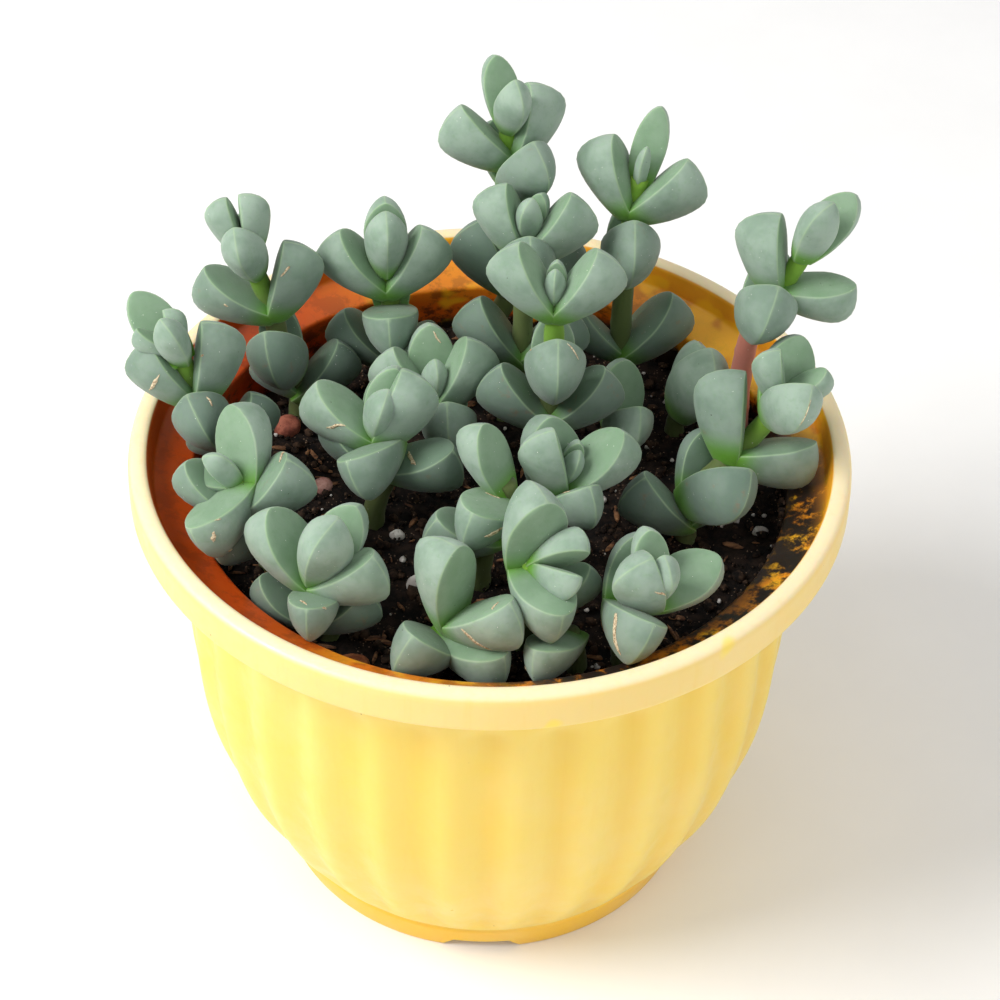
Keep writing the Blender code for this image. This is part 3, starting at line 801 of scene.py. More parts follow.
@dataclass
class FlutedPot:
    """The pot: a bulging fluted body, a tall collar with an inner shelf, and a notched foot ring."""

    height: float = 116.0
    rim_radius: float = 80.0
    lip_inner_radius: float = 75.5
    collar_height: float = 9.2
    collar_undercut: float = 1.4
    collar_foot_round: tuple[Point, ...] = ((0.4, 0.0), (0.0, 0.5))
    rim_round: tuple[Point, ...] = ((0.1, 2.0), (0.5, 0.6), (1.8, 0.0))
    lip_round: tuple[Point, ...] = ((0.9, 0.0), (0.0, 0.7))
    collar_taper: float = 0.8
    shelf_lift: float = 0.4
    shelf_rise: float = 2.8
    widest_radius: float = 69.3
    body_top_radius: float = 68.8
    widest_at: float = 87.0
    body_curve: float = 3.0
    foot_radius: float = 49.4
    foot_band_radius: float = 51.0
    foot_band_height: float = 8.0
    foot_crease: float = 0.5
    foot_crease_height: float = 0.8
    foot_ring_width: float = 4.4
    foot_ring_slope: float = 1.0
    first_row: float = 10.0
    row_step: float = 2.4
    rows: int = 33
    top_rows: tuple[float, ...] = (88.6, 90.0, 91.4, 92.6, 93.8, 95.0, 96.2, 97.4)
    inside_rows: tuple[float, ...] = (104.0, 100.0, 95.0, 84.0, 46.0, 18.0)
    corner_round: float = 0.8
    corner_points: int = 4
    wall: float = 2.6
    floor_underside: float = 3.6
    floor_top: float = 6.4
    floor_inset: float = 5.0
    flutes: int = 28
    flute_depth: float = 1.5
    flute_bottom: float = 9.0
    flute_full_from: float = 15.0
    flute_top: float = 97.0
    flute_arch: float = 7.0
    flute_fade: float = 5.0
    on_surface: float = 0.06
    columns_per_flute: int = 8
    notches: int = 4
    notch_width: float = 21.0
    notch_top_width: float = 13.0
    notch_height: float = 3.0
    notch_overrun: float = 1.0
    notch_inner_radius: float = 43.0
    notch_outer_radius: float = 51.0
    drain_holes: int = 6
    drain_radius: float = 4.0
    drain_circle: float = 28.0
    drain_rod_length: float = 9.0
    drain_columns: int = 32
    sharp_from: float = radians(38)
    mud_side: float = radians(-35.0)
    mud_foot: float = 97.0
    mud_height: float = 17.0
    mud_fade: float = 9.0

    def body_radius(self, height: float) -> float:
        """Radius over the crests of the flutes.

        Args:
            height: Height above the ground.

        Returns:
            The radius.
        """
        if height >= self.widest_at:
            share = (height - self.widest_at) / (self.height - self.collar_height - self.widest_at)
            return self.widest_radius + (self.body_top_radius - self.widest_radius) * share
        share = (self.widest_at - height) / (self.widest_at - self.foot_band_height)
        return self.widest_radius + (self.foot_band_radius - self.widest_radius) * share ** self.body_curve

    def inner_radius(self, height: float) -> float:
        """Radius of the inner wall below the shelf."""
        return self.body_radius(height) - self.wall

    def profile(self) -> list[Point]:
        """Draw the wall from under the floor, round the outside and the rim, to the floor inside.

        Returns:
            Points (radius, height).
        """
        collar_foot = self.height - self.collar_height
        shelf = collar_foot + self.shelf_lift
        ring = self.foot_radius - self.foot_ring_width
        points = [
            (0.0, self.floor_underside),
            (ring - self.foot_ring_slope, self.floor_underside),
            (ring, 0.0),
            (self.foot_radius, 0.0),
            (self.foot_band_radius, self.foot_band_height - self.foot_crease_height),
            (self.foot_band_radius - self.foot_crease, self.foot_band_height),
        ]
        rows = [self.first_row + self.row_step * number for number in range(self.rows)]
        points += [(self.body_radius(height), height) for height in (*rows, *self.top_rows)]
        points.append((self.body_top_radius, collar_foot - self.collar_undercut))
        points += [(self.rim_radius - inset, collar_foot + lift) for inset, lift in self.collar_foot_round]
        points += [(self.rim_radius - inset, self.height - drop) for inset, drop in self.rim_round]
        points += [(self.lip_inner_radius + inset, self.height - drop) for inset, drop in self.lip_round]
        points.append((self.lip_inner_radius - self.collar_taper, shelf + self.shelf_rise))
        points += [(self.inner_radius(height), height) for height in (shelf, *self.inside_rows)]
        points += [(self.foot_radius - self.floor_inset, self.floor_top), (0.0, self.floor_top)]
        return soften(points, self.corner_round, self.corner_points)

    def carve_flutes(self, shape: bmesh.types.BMesh) -> None:
        """Press the shallow round-headed flutes into the outside.

        Args:
            shape: The turned pot.
        """
        for vert in shape.verts:
            height, radius = vert.co.z, hypot(vert.co.x, vert.co.y)
            outside = abs(radius - self.body_radius(height)) < self.on_surface
            if not outside or not self.flute_bottom < height < self.flute_top:
                continue
            turn = self.flutes * atan2(vert.co.y, vert.co.x) / (2.0 * pi)
            across_flute = abs(2.0 * (turn - round(turn)))
            valley = 0.5 + 0.5 * cos(pi * across_flute)
            head = self.flute_top - self.flute_arch * (1.0 - sqrt(max(0.0, 1.0 - across_flute ** 2)))
            depth = valley * smooth(head - height, 0.0, self.flute_fade)
            depth *= smooth(height, self.flute_bottom, self.flute_full_from)
            vert.co.xy *= (radius - self.flute_depth * depth) / radius

    def notch(self, angle: float) -> bmesh.types.BMesh:
        """A tapered block across the foot ring.

        Args:
            angle: Its direction from +X.

        Returns:
            The block.
        """
        shape = bmesh.new()
        bmesh.ops.create_cube(shape, size=1.0)
        for vert in shape.verts:
            upper = vert.co.z > 0
            vert.co.x = self.notch_outer_radius if vert.co.x > 0 else self.notch_inner_radius
            vert.co.y *= self.notch_top_width if upper else self.notch_width
            vert.co.z = self.notch_height if upper else -self.notch_overrun
        bmesh.ops.rotate(shape, cent=(0, 0, 0), matrix=Matrix.Rotation(angle, 3, "Z"), verts=shape.verts)
        return shape

    def drain(self, x: float, y: float) -> bmesh.types.BMesh:
        """A rod down through the floor.

        Args:
            x: Its place along X.
            y: Its place along Y.

        Returns:
            The rod.
        """
        shape = bmesh.new()
        middle = Matrix.Translation((x, y, 0.5 * (self.floor_underside + self.floor_top)))
        bmesh.ops.create_cone(shape, cap_ends=True, segments=self.drain_columns,
                              radius1=self.drain_radius, radius2=self.drain_radius,
                              depth=self.drain_rod_length, matrix=middle)
        return shape

    def cut(self, pot: bpy.types.Object) -> None:
        """Cut the notches and the drain holes out of the pot.

        Args:
            pot: The pot.
        """
        cutters = [self.notch(2 * pi * number / self.notches) for number in range(self.notches)]
        cutters.append(self.drain(0.0, 0.0))
        for number in range(self.drain_holes):
            angle = 2 * pi * (number + 0.5) / self.drain_holes
            cutters.append(self.drain(self.drain_circle * cos(angle), self.drain_circle * sin(angle)))
        tools = bpy.data.collections.new("pot_cutters")
        bpy.context.scene.collection.children.link(tools)
        for number, shape in enumerate(cutters):
            tool = make_piece(f"pot_cutter_{number}", shape, ())
            bpy.context.scene.collection.objects.unlink(tool)
            tools.objects.link(tool)
        boolean = pot.modifiers.new("openings", "BOOLEAN")
        boolean.operation = "DIFFERENCE"
        boolean.operand_type = "COLLECTION"
        boolean.collection = tools
        boolean.solver = "EXACT"
        bpy.context.view_layer.update()
        evaluated = pot.evaluated_get(bpy.context.evaluated_depsgraph_get())
        pot.data = bpy.data.meshes.new_from_object(evaluated)
        pot.modifiers.clear()
        for tool in list(tools.objects):
            bpy.data.objects.remove(tool, do_unlink=True)
        bpy.data.collections.remove(tools)

    def mark_inside(self, pot: bpy.types.Object) -> None:
        """Write at each point whether it is inside, how muddy it is and how much painted shade it gets in
        the flutes.

        Args:
            pot: The pot.
        """
        names = ("inside", "mud", "flute_shade")
        marks = {name: pot.data.attributes.new(name, "FLOAT", "POINT").data for name in names}
        for number, vert in enumerate(pot.data.vertices):
            radius, height = hypot(vert.co.x, vert.co.y) / MM, vert.co.z / MM
            facing = atan2(vert.co.y, vert.co.x)
            above = height > self.height - self.collar_height
            wall = self.lip_inner_radius + 0.3 if above else self.body_radius(height) - 0.75 * self.wall
            inside = radius < wall and height > self.floor_top - 0.4
            marks["inside"][number].value = float(inside)
            splash = self.mud_height * (0.55 + 0.45 * cos(facing - self.mud_side))
            marks["mud"][number].value = smooth(self.mud_foot + splash - height, 0.0, self.mud_fade)
            # Painted shade for the flutes: deepest in each valley and stronger on one side of it.
            depth = max(0.0, self.body_radius(height) - radius) / self.flute_depth
            shaded = min(1.0, depth * (0.6 + 0.4 * sin(self.flutes * facing)))
            marks["flute_shade"][number].value = 0.0 if inside or above else shaded

    def build(self) -> bpy.types.Object:
        """Build the pot and dress it.

        Returns:
            The pot.
        """
        shape = turned(self.profile(), self.flutes * self.columns_per_flute)
        self.carve_flutes(shape)
        pot = make_piece("fluted_pot", shape, ())
        self.cut(pot)
        self.mark_inside(pot)
        pot.data.materials.clear()
        pot.data.materials.append(PotPlastic().material("pot_plastic"))
        pot.data.shade_smooth()
        pot.data.set_sharp_from_angle(angle=self.sharp_from)
        declare(pot, Slot.POT, "pot")
        return pot


@dataclass(frozen=True)
class Litter:
    """Small rough lumps of one kind, scattered over the soil.

    Lengths run from the shortest up by the spread, and a skew over 1 makes most of them short. Widths and
    heights are shares of the length, but a flat kind's heights are in millimetres. The margin is kept from
    the wall.
    """

    count: int
    shortest: float
    spread: float
    skew: float
    widths: tuple[float, float]
    heights: tuple[float, float]
    margin: float
    subdivisions: int
    flat: bool = False

    def size(self, draw: Random) -> Vector:
        """Draw the size of one lump.

        Args:
            draw: The seeded source of numbers.

        Returns:
            Its length, width and height.
        """
        length = self.shortest + self.spread * draw.random() ** self.skew
        width = length * draw.uniform(*self.widths)
        return Vector((length, width, (1.0 if self.flat else length) * draw.uniform(*self.heights)))


@dataclass
class SoilBed:
    """The soil in the pot, with its crumbs, perlite and shreds of bark."""

    pot: FlutedPot
    level: float = 96.0
    relief: float = 1.6
    lump: float = 9.0
    fine_relief: float = 0.8
    fine_lump: float = 2.4
    settling: float = 0.3
    columns: int = 168
    rings: int = 58
    wall_gap: float = 0.2
    side_gap: float = 0.6
    side_rows: tuple[float, ...] = (18.0, 46.0, 84.0)
    foot_gap: float = 0.3
    tilt: float = 22.0
    raggedness: float = 0.55
    crumbs: Litter = Litter(1700, 0.8, 2.8, 2.2, (0.6, 1.0), (0.5, 0.9), 1.5, 1)
    grains: Litter = Litter(170, 0.6, 1.5, 3, (0.7, 1.0), (0.6, 0.9), 2.0, 2)
    shreds: Litter = Litter(190, 1.6, 4.4, 1, (0.16, 0.4), (0.5, 0.9), 4.0, 2, flat=True)
    wall_crumbs: int = 420
    wall_crumb_lengths: tuple[float, float] = (0.8, 2.2)
    wall_crumb_spread: float = 0.9
    wall_crumb_reach: float = 9.0
    seed: int = 7

    @property
    def edge(self) -> float:
        """Radius of the soil where it meets the wall."""
        return self.pot.inner_radius(self.level) - self.wall_gap

    def ground(self, x: float, y: float) -> float:
        """Height of the soil's main surface.

        Args:
            x: Place along X.
            y: Place along Y.

        Returns:
            The height.
        """
        lump = 0.5 + 0.5 * noise.noise(Vector((x / self.lump, y / self.lump, 0.0)))
        return self.level - self.relief * lump

    def surface(self) -> bpy.types.Object:
        """Build the body of soil with its rough top.

        Returns:
            The piece.
        """
        pot = self.pot
        floor = pot.floor_top + self.foot_gap
        side = [(0.0, floor), (pot.foot_radius - pot.floor_inset - self.foot_gap, floor)]
        side += [(pot.inner_radius(height) - self.side_gap, height) for height in self.side_rows]
        top = [(self.edge * ring / self.rings, self.level) for ring in range(self.rings, -1, -1)]
        shape = turned(side + top, self.columns)
        for vert in shape.verts:
            if vert.co.z > self.level - 0.1:
                x, y = vert.co.x, vert.co.y
                fine = noise.fractal(Vector((x, y, 3.0)) / self.fine_lump, 0.7, 2.1, 4)
                vert.co.z = self.ground(x, y) + self.fine_relief * fine - self.settling
        soil = make_piece("soil_surface", shape, [PottingMix().material("potting_mix")])
        declare(soil, Slot.SOIL, "soil")
        return soil

    def spot(self, draw: Random, margin: float) -> tuple[float, float]:
        """Draw a place on the soil.

        Args:
            draw: The seeded source of numbers.
            margin: Distance kept from the wall.

        Returns:
            The place (x, y).
        """
        radius = (self.edge - margin) * sqrt(draw.random())
        angle = 2 * pi * draw.random()
        return radius * cos(angle), radius * sin(angle)

    def lump_at(self, heap: Heap, draw: Random, place: Point,
                size: Vector, subdivisions: int, height: float = 0.0) -> None:
        """Add one rough lump that lies on the soil.

        Args:
            heap: The heap to add to.
            draw: The seeded source of numbers.
            place: Where it lies.
            size: Its size along its own axes.
            subdivisions: How finely it is divided.
            height: Its height where it clings to the wall, or 0 for one that lies on the soil.
        """
        x, y = place
        tilt = Matrix.Rotation(radians(draw.uniform(-self.tilt, self.tilt)), 3, "X")
        turn = Matrix.Rotation(2 * pi * draw.random(), 3, "Z") @ tilt
        offset = Vector((draw.random(), draw.random(), draw.random())) * 50.0
        middle = Vector((x, y, max(height, self.ground(x, y) + 0.22 * size.z)))
        verts = bmesh.ops.create_icosphere(heap.next(), subdivisions=subdivisions, radius=0.5)["verts"]
        for vert in verts:
            rough = 1.0 + self.raggedness * noise.noise(vert.co * 3.1 + offset)
            vert.co = middle + turn @ Vector(a * b * rough for a, b in zip(vert.co, size))

    def scatter(self, heap: Heap, draw: Random, litter: Litter) -> None:
        """Scatter one kind of lump over the soil.

        Args:
            heap: The heap to add to.
            draw: The seeded source of numbers.
            litter: The kind.
        """
        for _ in range(litter.count):
            size = litter.size(draw)
            self.lump_at(heap, draw, self.spot(draw, litter.margin), size, litter.subdivisions)

    def splash(self, heap: Heap, draw: Random) -> None:
        """Stick crumbs to the muddy side of the wall.

        Args:
            heap: The heap to add to.
            draw: The seeded source of numbers.
        """
        for _ in range(self.wall_crumbs):
            angle = self.pot.mud_side + draw.gauss(0.0, self.wall_crumb_spread)
            height = self.level + self.wall_crumb_reach * draw.random() ** 2
            length = draw.uniform(*self.wall_crumb_lengths)
            size = Vector((length, length * draw.uniform(*self.crumbs.widths), 0.7 * length))
            radius = self.pot.inner_radius(height) - 0.3 * length
            self.lump_at(heap, draw, (radius * cos(angle), radius * sin(angle)), size, 1, height)

    def build(self) -> None:
        """Build the soil and all that lies loose in it."""
        self.surface()
        kinds = (
            ("soil_crumbs", self.crumbs, CRUMB_MIX.material("soil_crumb"), Slot.SOIL),
            ("perlite_grains", self.grains, PERLITE.material("perlite_grain"), Slot.PERLITE),
            ("bark_shreds", self.shreds, BARK.material("bark_shred"), Slot.BARK),
        )
        for number, (name, litter, material, slot) in enumerate(kinds):
            heap, draw = Heap(), Random(self.seed + number)
            self.scatter(heap, draw, litter)
            if litter is self.crumbs:
                self.splash(heap, draw)
            declare(make_piece(name, heap.pour(), [material]), slot)


@dataclass
class LooseStone:
    """A stone, a grain of perlite or a chip of bark that lies loose on the soil."""

    node: str
    place: Point
    size: tuple[float, float, float]
    finish: Mineral
    slot: Slot
    sink: float = 1.0
    roughness: float = 0.16
    fine: float = 0.05
    flat_share: float = 0.30

    def build(self, bed: SoilBed) -> bpy.types.Object:
        """Build the stone in its pit.

        Args:
            bed: The soil that it lies on.

        Returns:
            The piece.
        """
        shape = bmesh.new()
        bmesh.ops.create_icosphere(shape, subdivisions=5, radius=0.5)
        turn = Matrix.Rotation(self.place[0], 3, "Z")
        bmesh.ops.rotate(shape, cent=(0, 0, 0), matrix=turn, verts=shape.verts)
        for vert in shape.verts:
            bump = noise.noise(vert.co * 2.2 + Vector((*self.place, 0.0)))
            pores = noise.fractal(vert.co * 9.0 + Vector((*self.place, 5.0)), 0.8, 2.0, 3)
            vert.co *= 1.0 + self.roughness * bump + self.fine * pores
        bmesh.ops.scale(shape, vec=self.size, verts=shape.verts)
        floor = -self.flat_share * self.size[2]
        for vert in shape.verts:
            vert.co.z = max(vert.co.z, floor) - floor
        lift = bed.ground(*self.place) - self.sink
        bmesh.ops.translate(shape, vec=(*self.place, lift), verts=shape.verts)
        piece = make_piece(self.node + "_stone", shape, [self.finish.material(self.node + "_skin")])
        declare(piece, self.slot, self.node)
        return piece


STONES = (
    LooseStone("pebble_clay", (-47.5, 26.5), (6.6, 6.2, 5.4), CLAY, Slot.PEBBLE, fine=0.02),
    LooseStone("pebble_rose", (-38.0, 6.0), (4.6, 4.2, 3.6), ROSE, Slot.PEBBLE, fine=0.03),
    LooseStone("pebble_orange", (-28.5, -51.0), (8.0, 5.4, 4.4), AMBER, Slot.PEBBLE, fine=0.03),
    LooseStone("perlite_front", (-15.5, -26.0), (5.0, 4.6, 4.4), PERLITE, Slot.PERLITE),
    LooseStone("perlite_left", (-20.5, -9.5), (3.4, 2.8, 2.6), PERLITE, Slot.PERLITE),
    LooseStone("perlite_right", (61.0, -6.0), (3.6, 3.0, 2.8), PERLITE, Slot.PERLITE),
    LooseStone("bark_chip", (46.5, -41.0), (9.0, 4.2, 2.2), BARK, Slot.BARK, fine=0.09),
)


LEAF_LAYERS = ("ridge", "inner", "base", "age", "stem", "blush")


class Pair(NamedTuple):
    """Two facing leaves: where they join the stem, each one's length and opening from it, and more.

    Turn is the first leaf's direction round the stem, from +X. Girth thins both. A length of 0 is
    an old leaf that has dropped off.
    """

    base: tuple
    lengths: tuple
    openings: tuple
    turn: float
    girth: float = 1.0


class Scar(NamedTuple):
    """A corky mark on a leaf.

    Pair counts from the top of the stem, which is 1. Share is the place along the leaf, and angle the
    place round it: -90 is the keel, 30 and 150 the margins, 90 the middle of the inner face.
    """

    pair: int
    side: int
    share: float
    angle: float
    length: float
    width: float
    slant: float = 0.0


class Shoot(NamedTuple):
    """A stem from its root (x, y) up through the bases of its pairs of leaves.

    Blush is how pink the stem's older part is.
    """

    root: tuple
    pairs: tuple
    scars: tuple = ()
    blush: float = 0.0


@dataclass(frozen=True)
class LeafForm:
    """The fat three-sided leaf: widths and depths as shares of the length, for a leaf of full length."""

    full_length: float = 17.0
    width: float = 0.77
    bud_width: float = 0.50
    depth: float = 0.62
    bud_depth: float = 0.40
    widest: float = 0.55
    deepest: float = 0.68
    base_width: float = 0.58
    base_depth: float = 0.50
    tip_sweep: float = 1.9
    tip_bluntness: float = 0.6
    keel_sweep: float = 1.6
    chin_sweep: float = 2.4
    chin_bluntness: float = 0.62
    chin_lean: float = 0.12
    heart: float = 0.42
    side_bulge: float = 0.15
    inner_bulge: float = 0.06
    sink: float = 3.0
    columns: int = 30
    rows: int = 18
    ridge_reach: float = 0.32
    crowding: float = 0.12
    waviness: float = 0.10
    wave_length: float = 5.0
    green_from: float = 0.10
    green_to: float = 0.42
    rounding: float = 1.2
    keel_pull: float = 0.13
    margin_pull: float = 0.18

    def width_share(self, share: float) -> float:
        """Half width along the leaf, as a share of its greatest.

        Args:
            share: Place along the leaf.

        Returns:
            The share of the greatest half width.
        """
        if share < self.widest:
            return 1.0 - (1.0 - self.base_width) * ((self.widest - share) / self.widest) ** 2
        past = (share - self.widest) / (1.0 - self.widest)
        return max(0.0, 1.0 - past ** self.tip_sweep) ** self.tip_bluntness

    def depth_share(self, share: float) -> float:
        """Depth of the keel along the leaf, as a share of its greatest.

        Args:
            share: Place along the leaf.

        Returns:
            The share of the greatest depth.
        """
        if share < self.deepest:
            before = (self.deepest - share) / self.deepest
            return 1.0 - (1.0 - self.base_depth) * before ** self.keel_sweep
        past = (share - self.deepest) / (1.0 - self.deepest)
        return max(0.0, 1.0 - past ** self.chin_sweep) ** self.chin_bluntness

    def section(self, half_width: float, depth: float, angle: float) -> tuple[float, float, float, int]:
        """Find a point of the three-sided section: keel below, a margin on each side.

        Args:
            half_width: From the middle to a margin.
            depth: From the margins' level down to the keel.
            angle: Place round the section in degrees, with the keel at -90.

        Returns:
            The point's place across and up, its distance from the nearest ridge, and its side's number.
        """
        corners = ((0.0, -depth), (half_width, 0.0), (-half_width, 0.0))
        bulges = (self.side_bulge, self.inner_bulge, self.side_bulge)
        side = ((angle + 90.0) / 120.0) % 3.0
        number = int(side + ROUND_OFF) % 3
        part = max(0.0, side - int(side + ROUND_OFF))
        part -= self.crowding * sin(2.0 * pi * part)
        (x0, z0), (x1, z1) = corners[number], corners[(number + 1) % 3]
        swell = 4.0 * bulges[number] * part * (1.0 - part)
        ridge = min(part, 1.0 - part) * hypot(x1 - x0, z1 - z0)
        near = number if part < 0.5 else (number + 1) % 3
        middle = Vector((0.0, -self.heart * depth)) - Vector(corners[near])
        pull = self.margin_pull if near else self.keel_pull
        reach = min(self.rounding, 0.45 * half_width) + ROUND_OFF
        middle *= pull * reach * max(0.0, 1.0 - ridge / reach) ** 2 / max(middle.length, ROUND_OFF)
        return (x0 + (x1 - x0) * part + (z1 - z0) * swell + middle.x,
                z0 + (z1 - z0) * part - (x1 - x0) * swell + middle.y, ridge, number)


@dataclass(frozen=True)
class ScarForm:
    """The corky blister of a scar: half its thickness, its lift off the skin, and how uneven it is."""

    thickness: float = 0.13
    lift: float = 0.02
    raggedness: float = 0.45
    wander: float = 0.5
    subdivisions: int = 3


@dataclass
class Leaf:
    """One leaf in its place on a stem."""

    form: LeafForm
    base: Vector
    along: Vector
    inward: Vector
    length: float
    girth: float
    age: float
    seed: float
    cork: ScarForm = ScarForm()

    def point(self, share: float, angle: float) -> tuple[Vector, float, int]:
        """Find a point of the leaf's skin.

        Args:
            share: Place along the leaf.
            angle: Place round it in degrees.

        Returns:
            The point, its distance from the nearest ridge and its side's number.
        """
        form = self.form
        grown = min(1.0, self.length / form.full_length)
        width = form.bud_width + (form.width - form.bud_width) * grown
        half_width = 0.5 * self.girth * self.length * width
        depth = self.girth * self.length * (form.bud_depth + (form.depth - form.bud_depth) * grown)
        x, z, ridge, number = form.section(half_width * form.width_share(share),
                                           depth * form.depth_share(share), angle)
        chin = form.chin_lean * share ** 3 * max(0.0, -z) / depth
        reach = (self.length + form.sink) * share - form.sink + self.length * chin
        place = self.base + self.along * reach + self.inward.cross(self.along) * x + self.inward * z
        wave = noise.noise_vector(place / form.wave_length + Vector((self.seed, 0.0, 0.0)))
        return place + wave * form.waviness * min(1.0, 3.0 * share), ridge, number

    def add_to(self, shape: bmesh.types.BMesh, layers: dict[str, object]) -> None:
        """Add the leaf to its shoot.

        Args:
            shape: The shoot's mesh.
            layers: The mesh's layers of numbers, by name.
        """
        form = self.form

        def place(vert: bmesh.types.BMVert, share: float, turn: float) -> Vector:
            """Set a point's numbers and return its place."""
            point, ridge, number = self.point(share, degrees(turn))
            vert[layers["ridge"]] = max(0.0, 1.0 - ridge / form.ridge_reach)
            vert[layers["inner"]] = float(number == 1)
            vert[layers["base"]] = 1.0 - smooth(share, form.green_from, form.green_to)
            vert[layers["age"]] = self.age
            return point

        add_ball(shape, form.columns, form.rows, place)

    def add_scar(self, shape: bmesh.types.BMesh, scar: Scar) -> None:
        """Lay a thin corky blister on the leaf's skin.

        Args:
            shape: The shoot's mesh.
            scar: The mark.
        """
        form = self.cork
        verts = bmesh.ops.create_icosphere(shape, subdivisions=form.subdivisions, radius=1.0)["verts"]
        girth = 360.0 / (3.0 * self.length * 0.85)
        slant = radians(scar.slant)
        for vert in verts:
            x, y = vert.co.x, vert.co.y
            ragged = 1.0 + form.raggedness * noise.noise(Vector((x * 2.4, y * 1.5, self.seed)))
            run, side = x * scar.length / 2.0 * ragged, y * scar.width / 2.0 * ragged
            side += form.wander * scar.width * noise.noise(Vector((run * 0.9, self.seed, 0.0)))
            step = run * cos(slant) - side * sin(slant)
            swing = run * sin(slant) + side * cos(slant)
            share = min(0.97, max(0.03, scar.share + step / (self.length + self.form.sink)))
            angle = scar.angle + swing * girth
            skin = self.point(share, angle)[0]
            nearby = self.point(share, angle + 4.0)[0] - skin
            ahead = self.point(min(0.99, share + 0.02), angle)[0] - skin
            out = nearby.cross(ahead).normalized()
            if out.dot(skin - self.base - self.along * (share * self.length) + self.inward * 2.0) < 0.0:
                out.negate()
            vert.co = skin + out * (form.thickness * vert.co.z + form.lift)
        for face in {face for vert in verts for face in vert.link_faces}:
            face.material_index = 1


@dataclass(frozen=True)
class StemForm:
    """The round stem between the leaves."""

    foot_radius: float = 2.7
    tip_radius: float = 2.1
    end: float = 0.5
    depth: float = 8.0
    columns: int = 18
    row_length: float = 1.6
    knot: float = 0.25
    bump_length: float = 2.5
    green_joints: float = 1.1
    old_joints: float = 2.2


@dataclass
class LeafyShoot:
    """A leafy stem, from its foot in the soil to its youngest buds."""

    node: str
    shoot: Shoot
    level: float = 96.0
    leaf: LeafForm = field(default_factory=LeafForm)
    stem: StemForm = field(default_factory=StemForm)

    def joints(self) -> list[tuple[Vector, Vector]]:
        """Find the stem's foot, its root, and the bases of its pairs.

        Returns:
            Each point, with the stem's direction there.
        """
        root = Vector((*self.shoot.root, self.level))
        points = [root - Vector((0, 0, self.stem.depth)), root]
        points += [Vector(pair.base) for pair in self.shoot.pairs]
        steps = [(upper - lower).normalized() for lower, upper in zip(points, points[1:])]
        directions = [steps[0], steps[0]]
        directions += [(before + after).normalized() for before, after in zip(steps[1:], steps[2:])]
        directions.append(steps[-1])
        return list(zip(points, directions))

    def stations(self) -> list[tuple[Vector, Vector, float]]:
        """Find closely spaced points up the stem.

        Returns:
            Each point, with the stem's direction there and its height counted in joints.
        """
        joints = self.joints()
        result = []
        for number, ((start, leaving), (end, arriving)) in enumerate(zip(joints, joints[1:])):
            reach = (end - start).length
            steps = max(2, round(reach / self.stem.row_length))
            for step in range(steps):
                part = step / steps
                curve = start * (1 + 2 * part) * (1 - part) ** 2 + end * part ** 2 * (3 - 2 * part)
                curve += leaving * reach * part * (1 - part) ** 2
                curve -= arriving * reach * part ** 2 * (1 - part)
                result.append((curve, leaving.lerp(arriving, part).normalized(), number + part))
        end, arriving = joints[-1]
        result.append((end + arriving * self.stem.end, arriving, len(joints) - 1.0))
        return result

    def add_stem(self, shape: bmesh.types.BMesh, layers: dict[str, object]) -> None:
        """Add the stem with its faint knots.

        Args:
            shape: The shoot's mesh.
            layers: The mesh's layers of numbers, by name.
        """
        stations = self.stations()
        rows = len(stations) + 1
        form = self.stem
        top = stations[-1][2]
        fresh = len(self.shoot.pairs) > 2 and min(self.shoot.pairs[-1].lengths) > 0

        def place(vert: bmesh.types.BMVert, share: float, turn: float) -> Vector:
            """Set a point's numbers and return its place."""
            row = round(acos(1.0 - 2.0 * share) / pi * rows)
            number = min(len(stations), max(1, row)) - 1
            point, direction, climb = stations[number]
            vert[layers["stem"]] = 1.0
            vert[layers["blush"]] = self.shoot.blush
            green = smooth(climb, top - form.old_joints, top - form.green_joints) * fresh
            vert[layers["age"]] = 1.0 - green
            if row in (0, rows):
                return point
            climbed = number / (len(stations) - 1)
            radius = form.foot_radius + (form.tip_radius - form.foot_radius) * climbed
            radius += form.knot * noise.noise(point / form.bump_length)
            radius += form.knot * (0.5 - abs(climb - round(climb))) ** 3
            first, second = across(direction)
            return point + (first * cos(turn) + second * sin(turn)) * radius

        add_ball(shape, form.columns, rows, place)

    def leaves(self) -> dict[tuple[int, int], Leaf]:
        """Place the shoot's leaves.

        Returns:
            The leaves, each by its pair counted from the top and its side of the pair.
        """
        result = {}
        joints = self.joints()[2:]
        for number, (pair, (base, direction)) in enumerate(zip(self.shoot.pairs, joints)):
            first, second = across(direction)
            from_top = len(joints) - number
            for side, (length, opening) in enumerate(zip(pair.lengths, pair.openings)):
                if not length:
                    continue
                turn, lean = radians(pair.turn + 180.0 * side), radians(opening)
                outward = first * cos(turn) + second * sin(turn)
                result[from_top, side] = Leaf(
                    self.leaf, base, outward * sin(lean) + direction * cos(lean),
                    direction * sin(lean) - outward * cos(lean), length, pair.girth,
                    smooth(from_top, 1.5, 4.5), 7.3 * number + 3.1 * side + len(self.node))
        return result

    def build(self, skins: Sequence[bpy.types.Material]) -> bpy.types.Object:
        """Build the shoot and dress it.

        Args:
            skins: The leaf's skin and the scars' cork.

        Returns:
            The piece.
        """
        shape = bmesh.new()
        layers = {name: shape.verts.layers.float.new(name) for name in LEAF_LAYERS}
        self.add_stem(shape, layers)
        leaves = self.leaves()
        for leaf in leaves.values():
            leaf.add_to(shape, layers)
        for scar in self.shoot.scars:
            leaves[scar.pair, scar.side].add_scar(shape, scar)
        piece = make_piece(self.node + "_leafy", shape, skins)
        declare(piece, Slot.LEAF, self.node)
        return piece


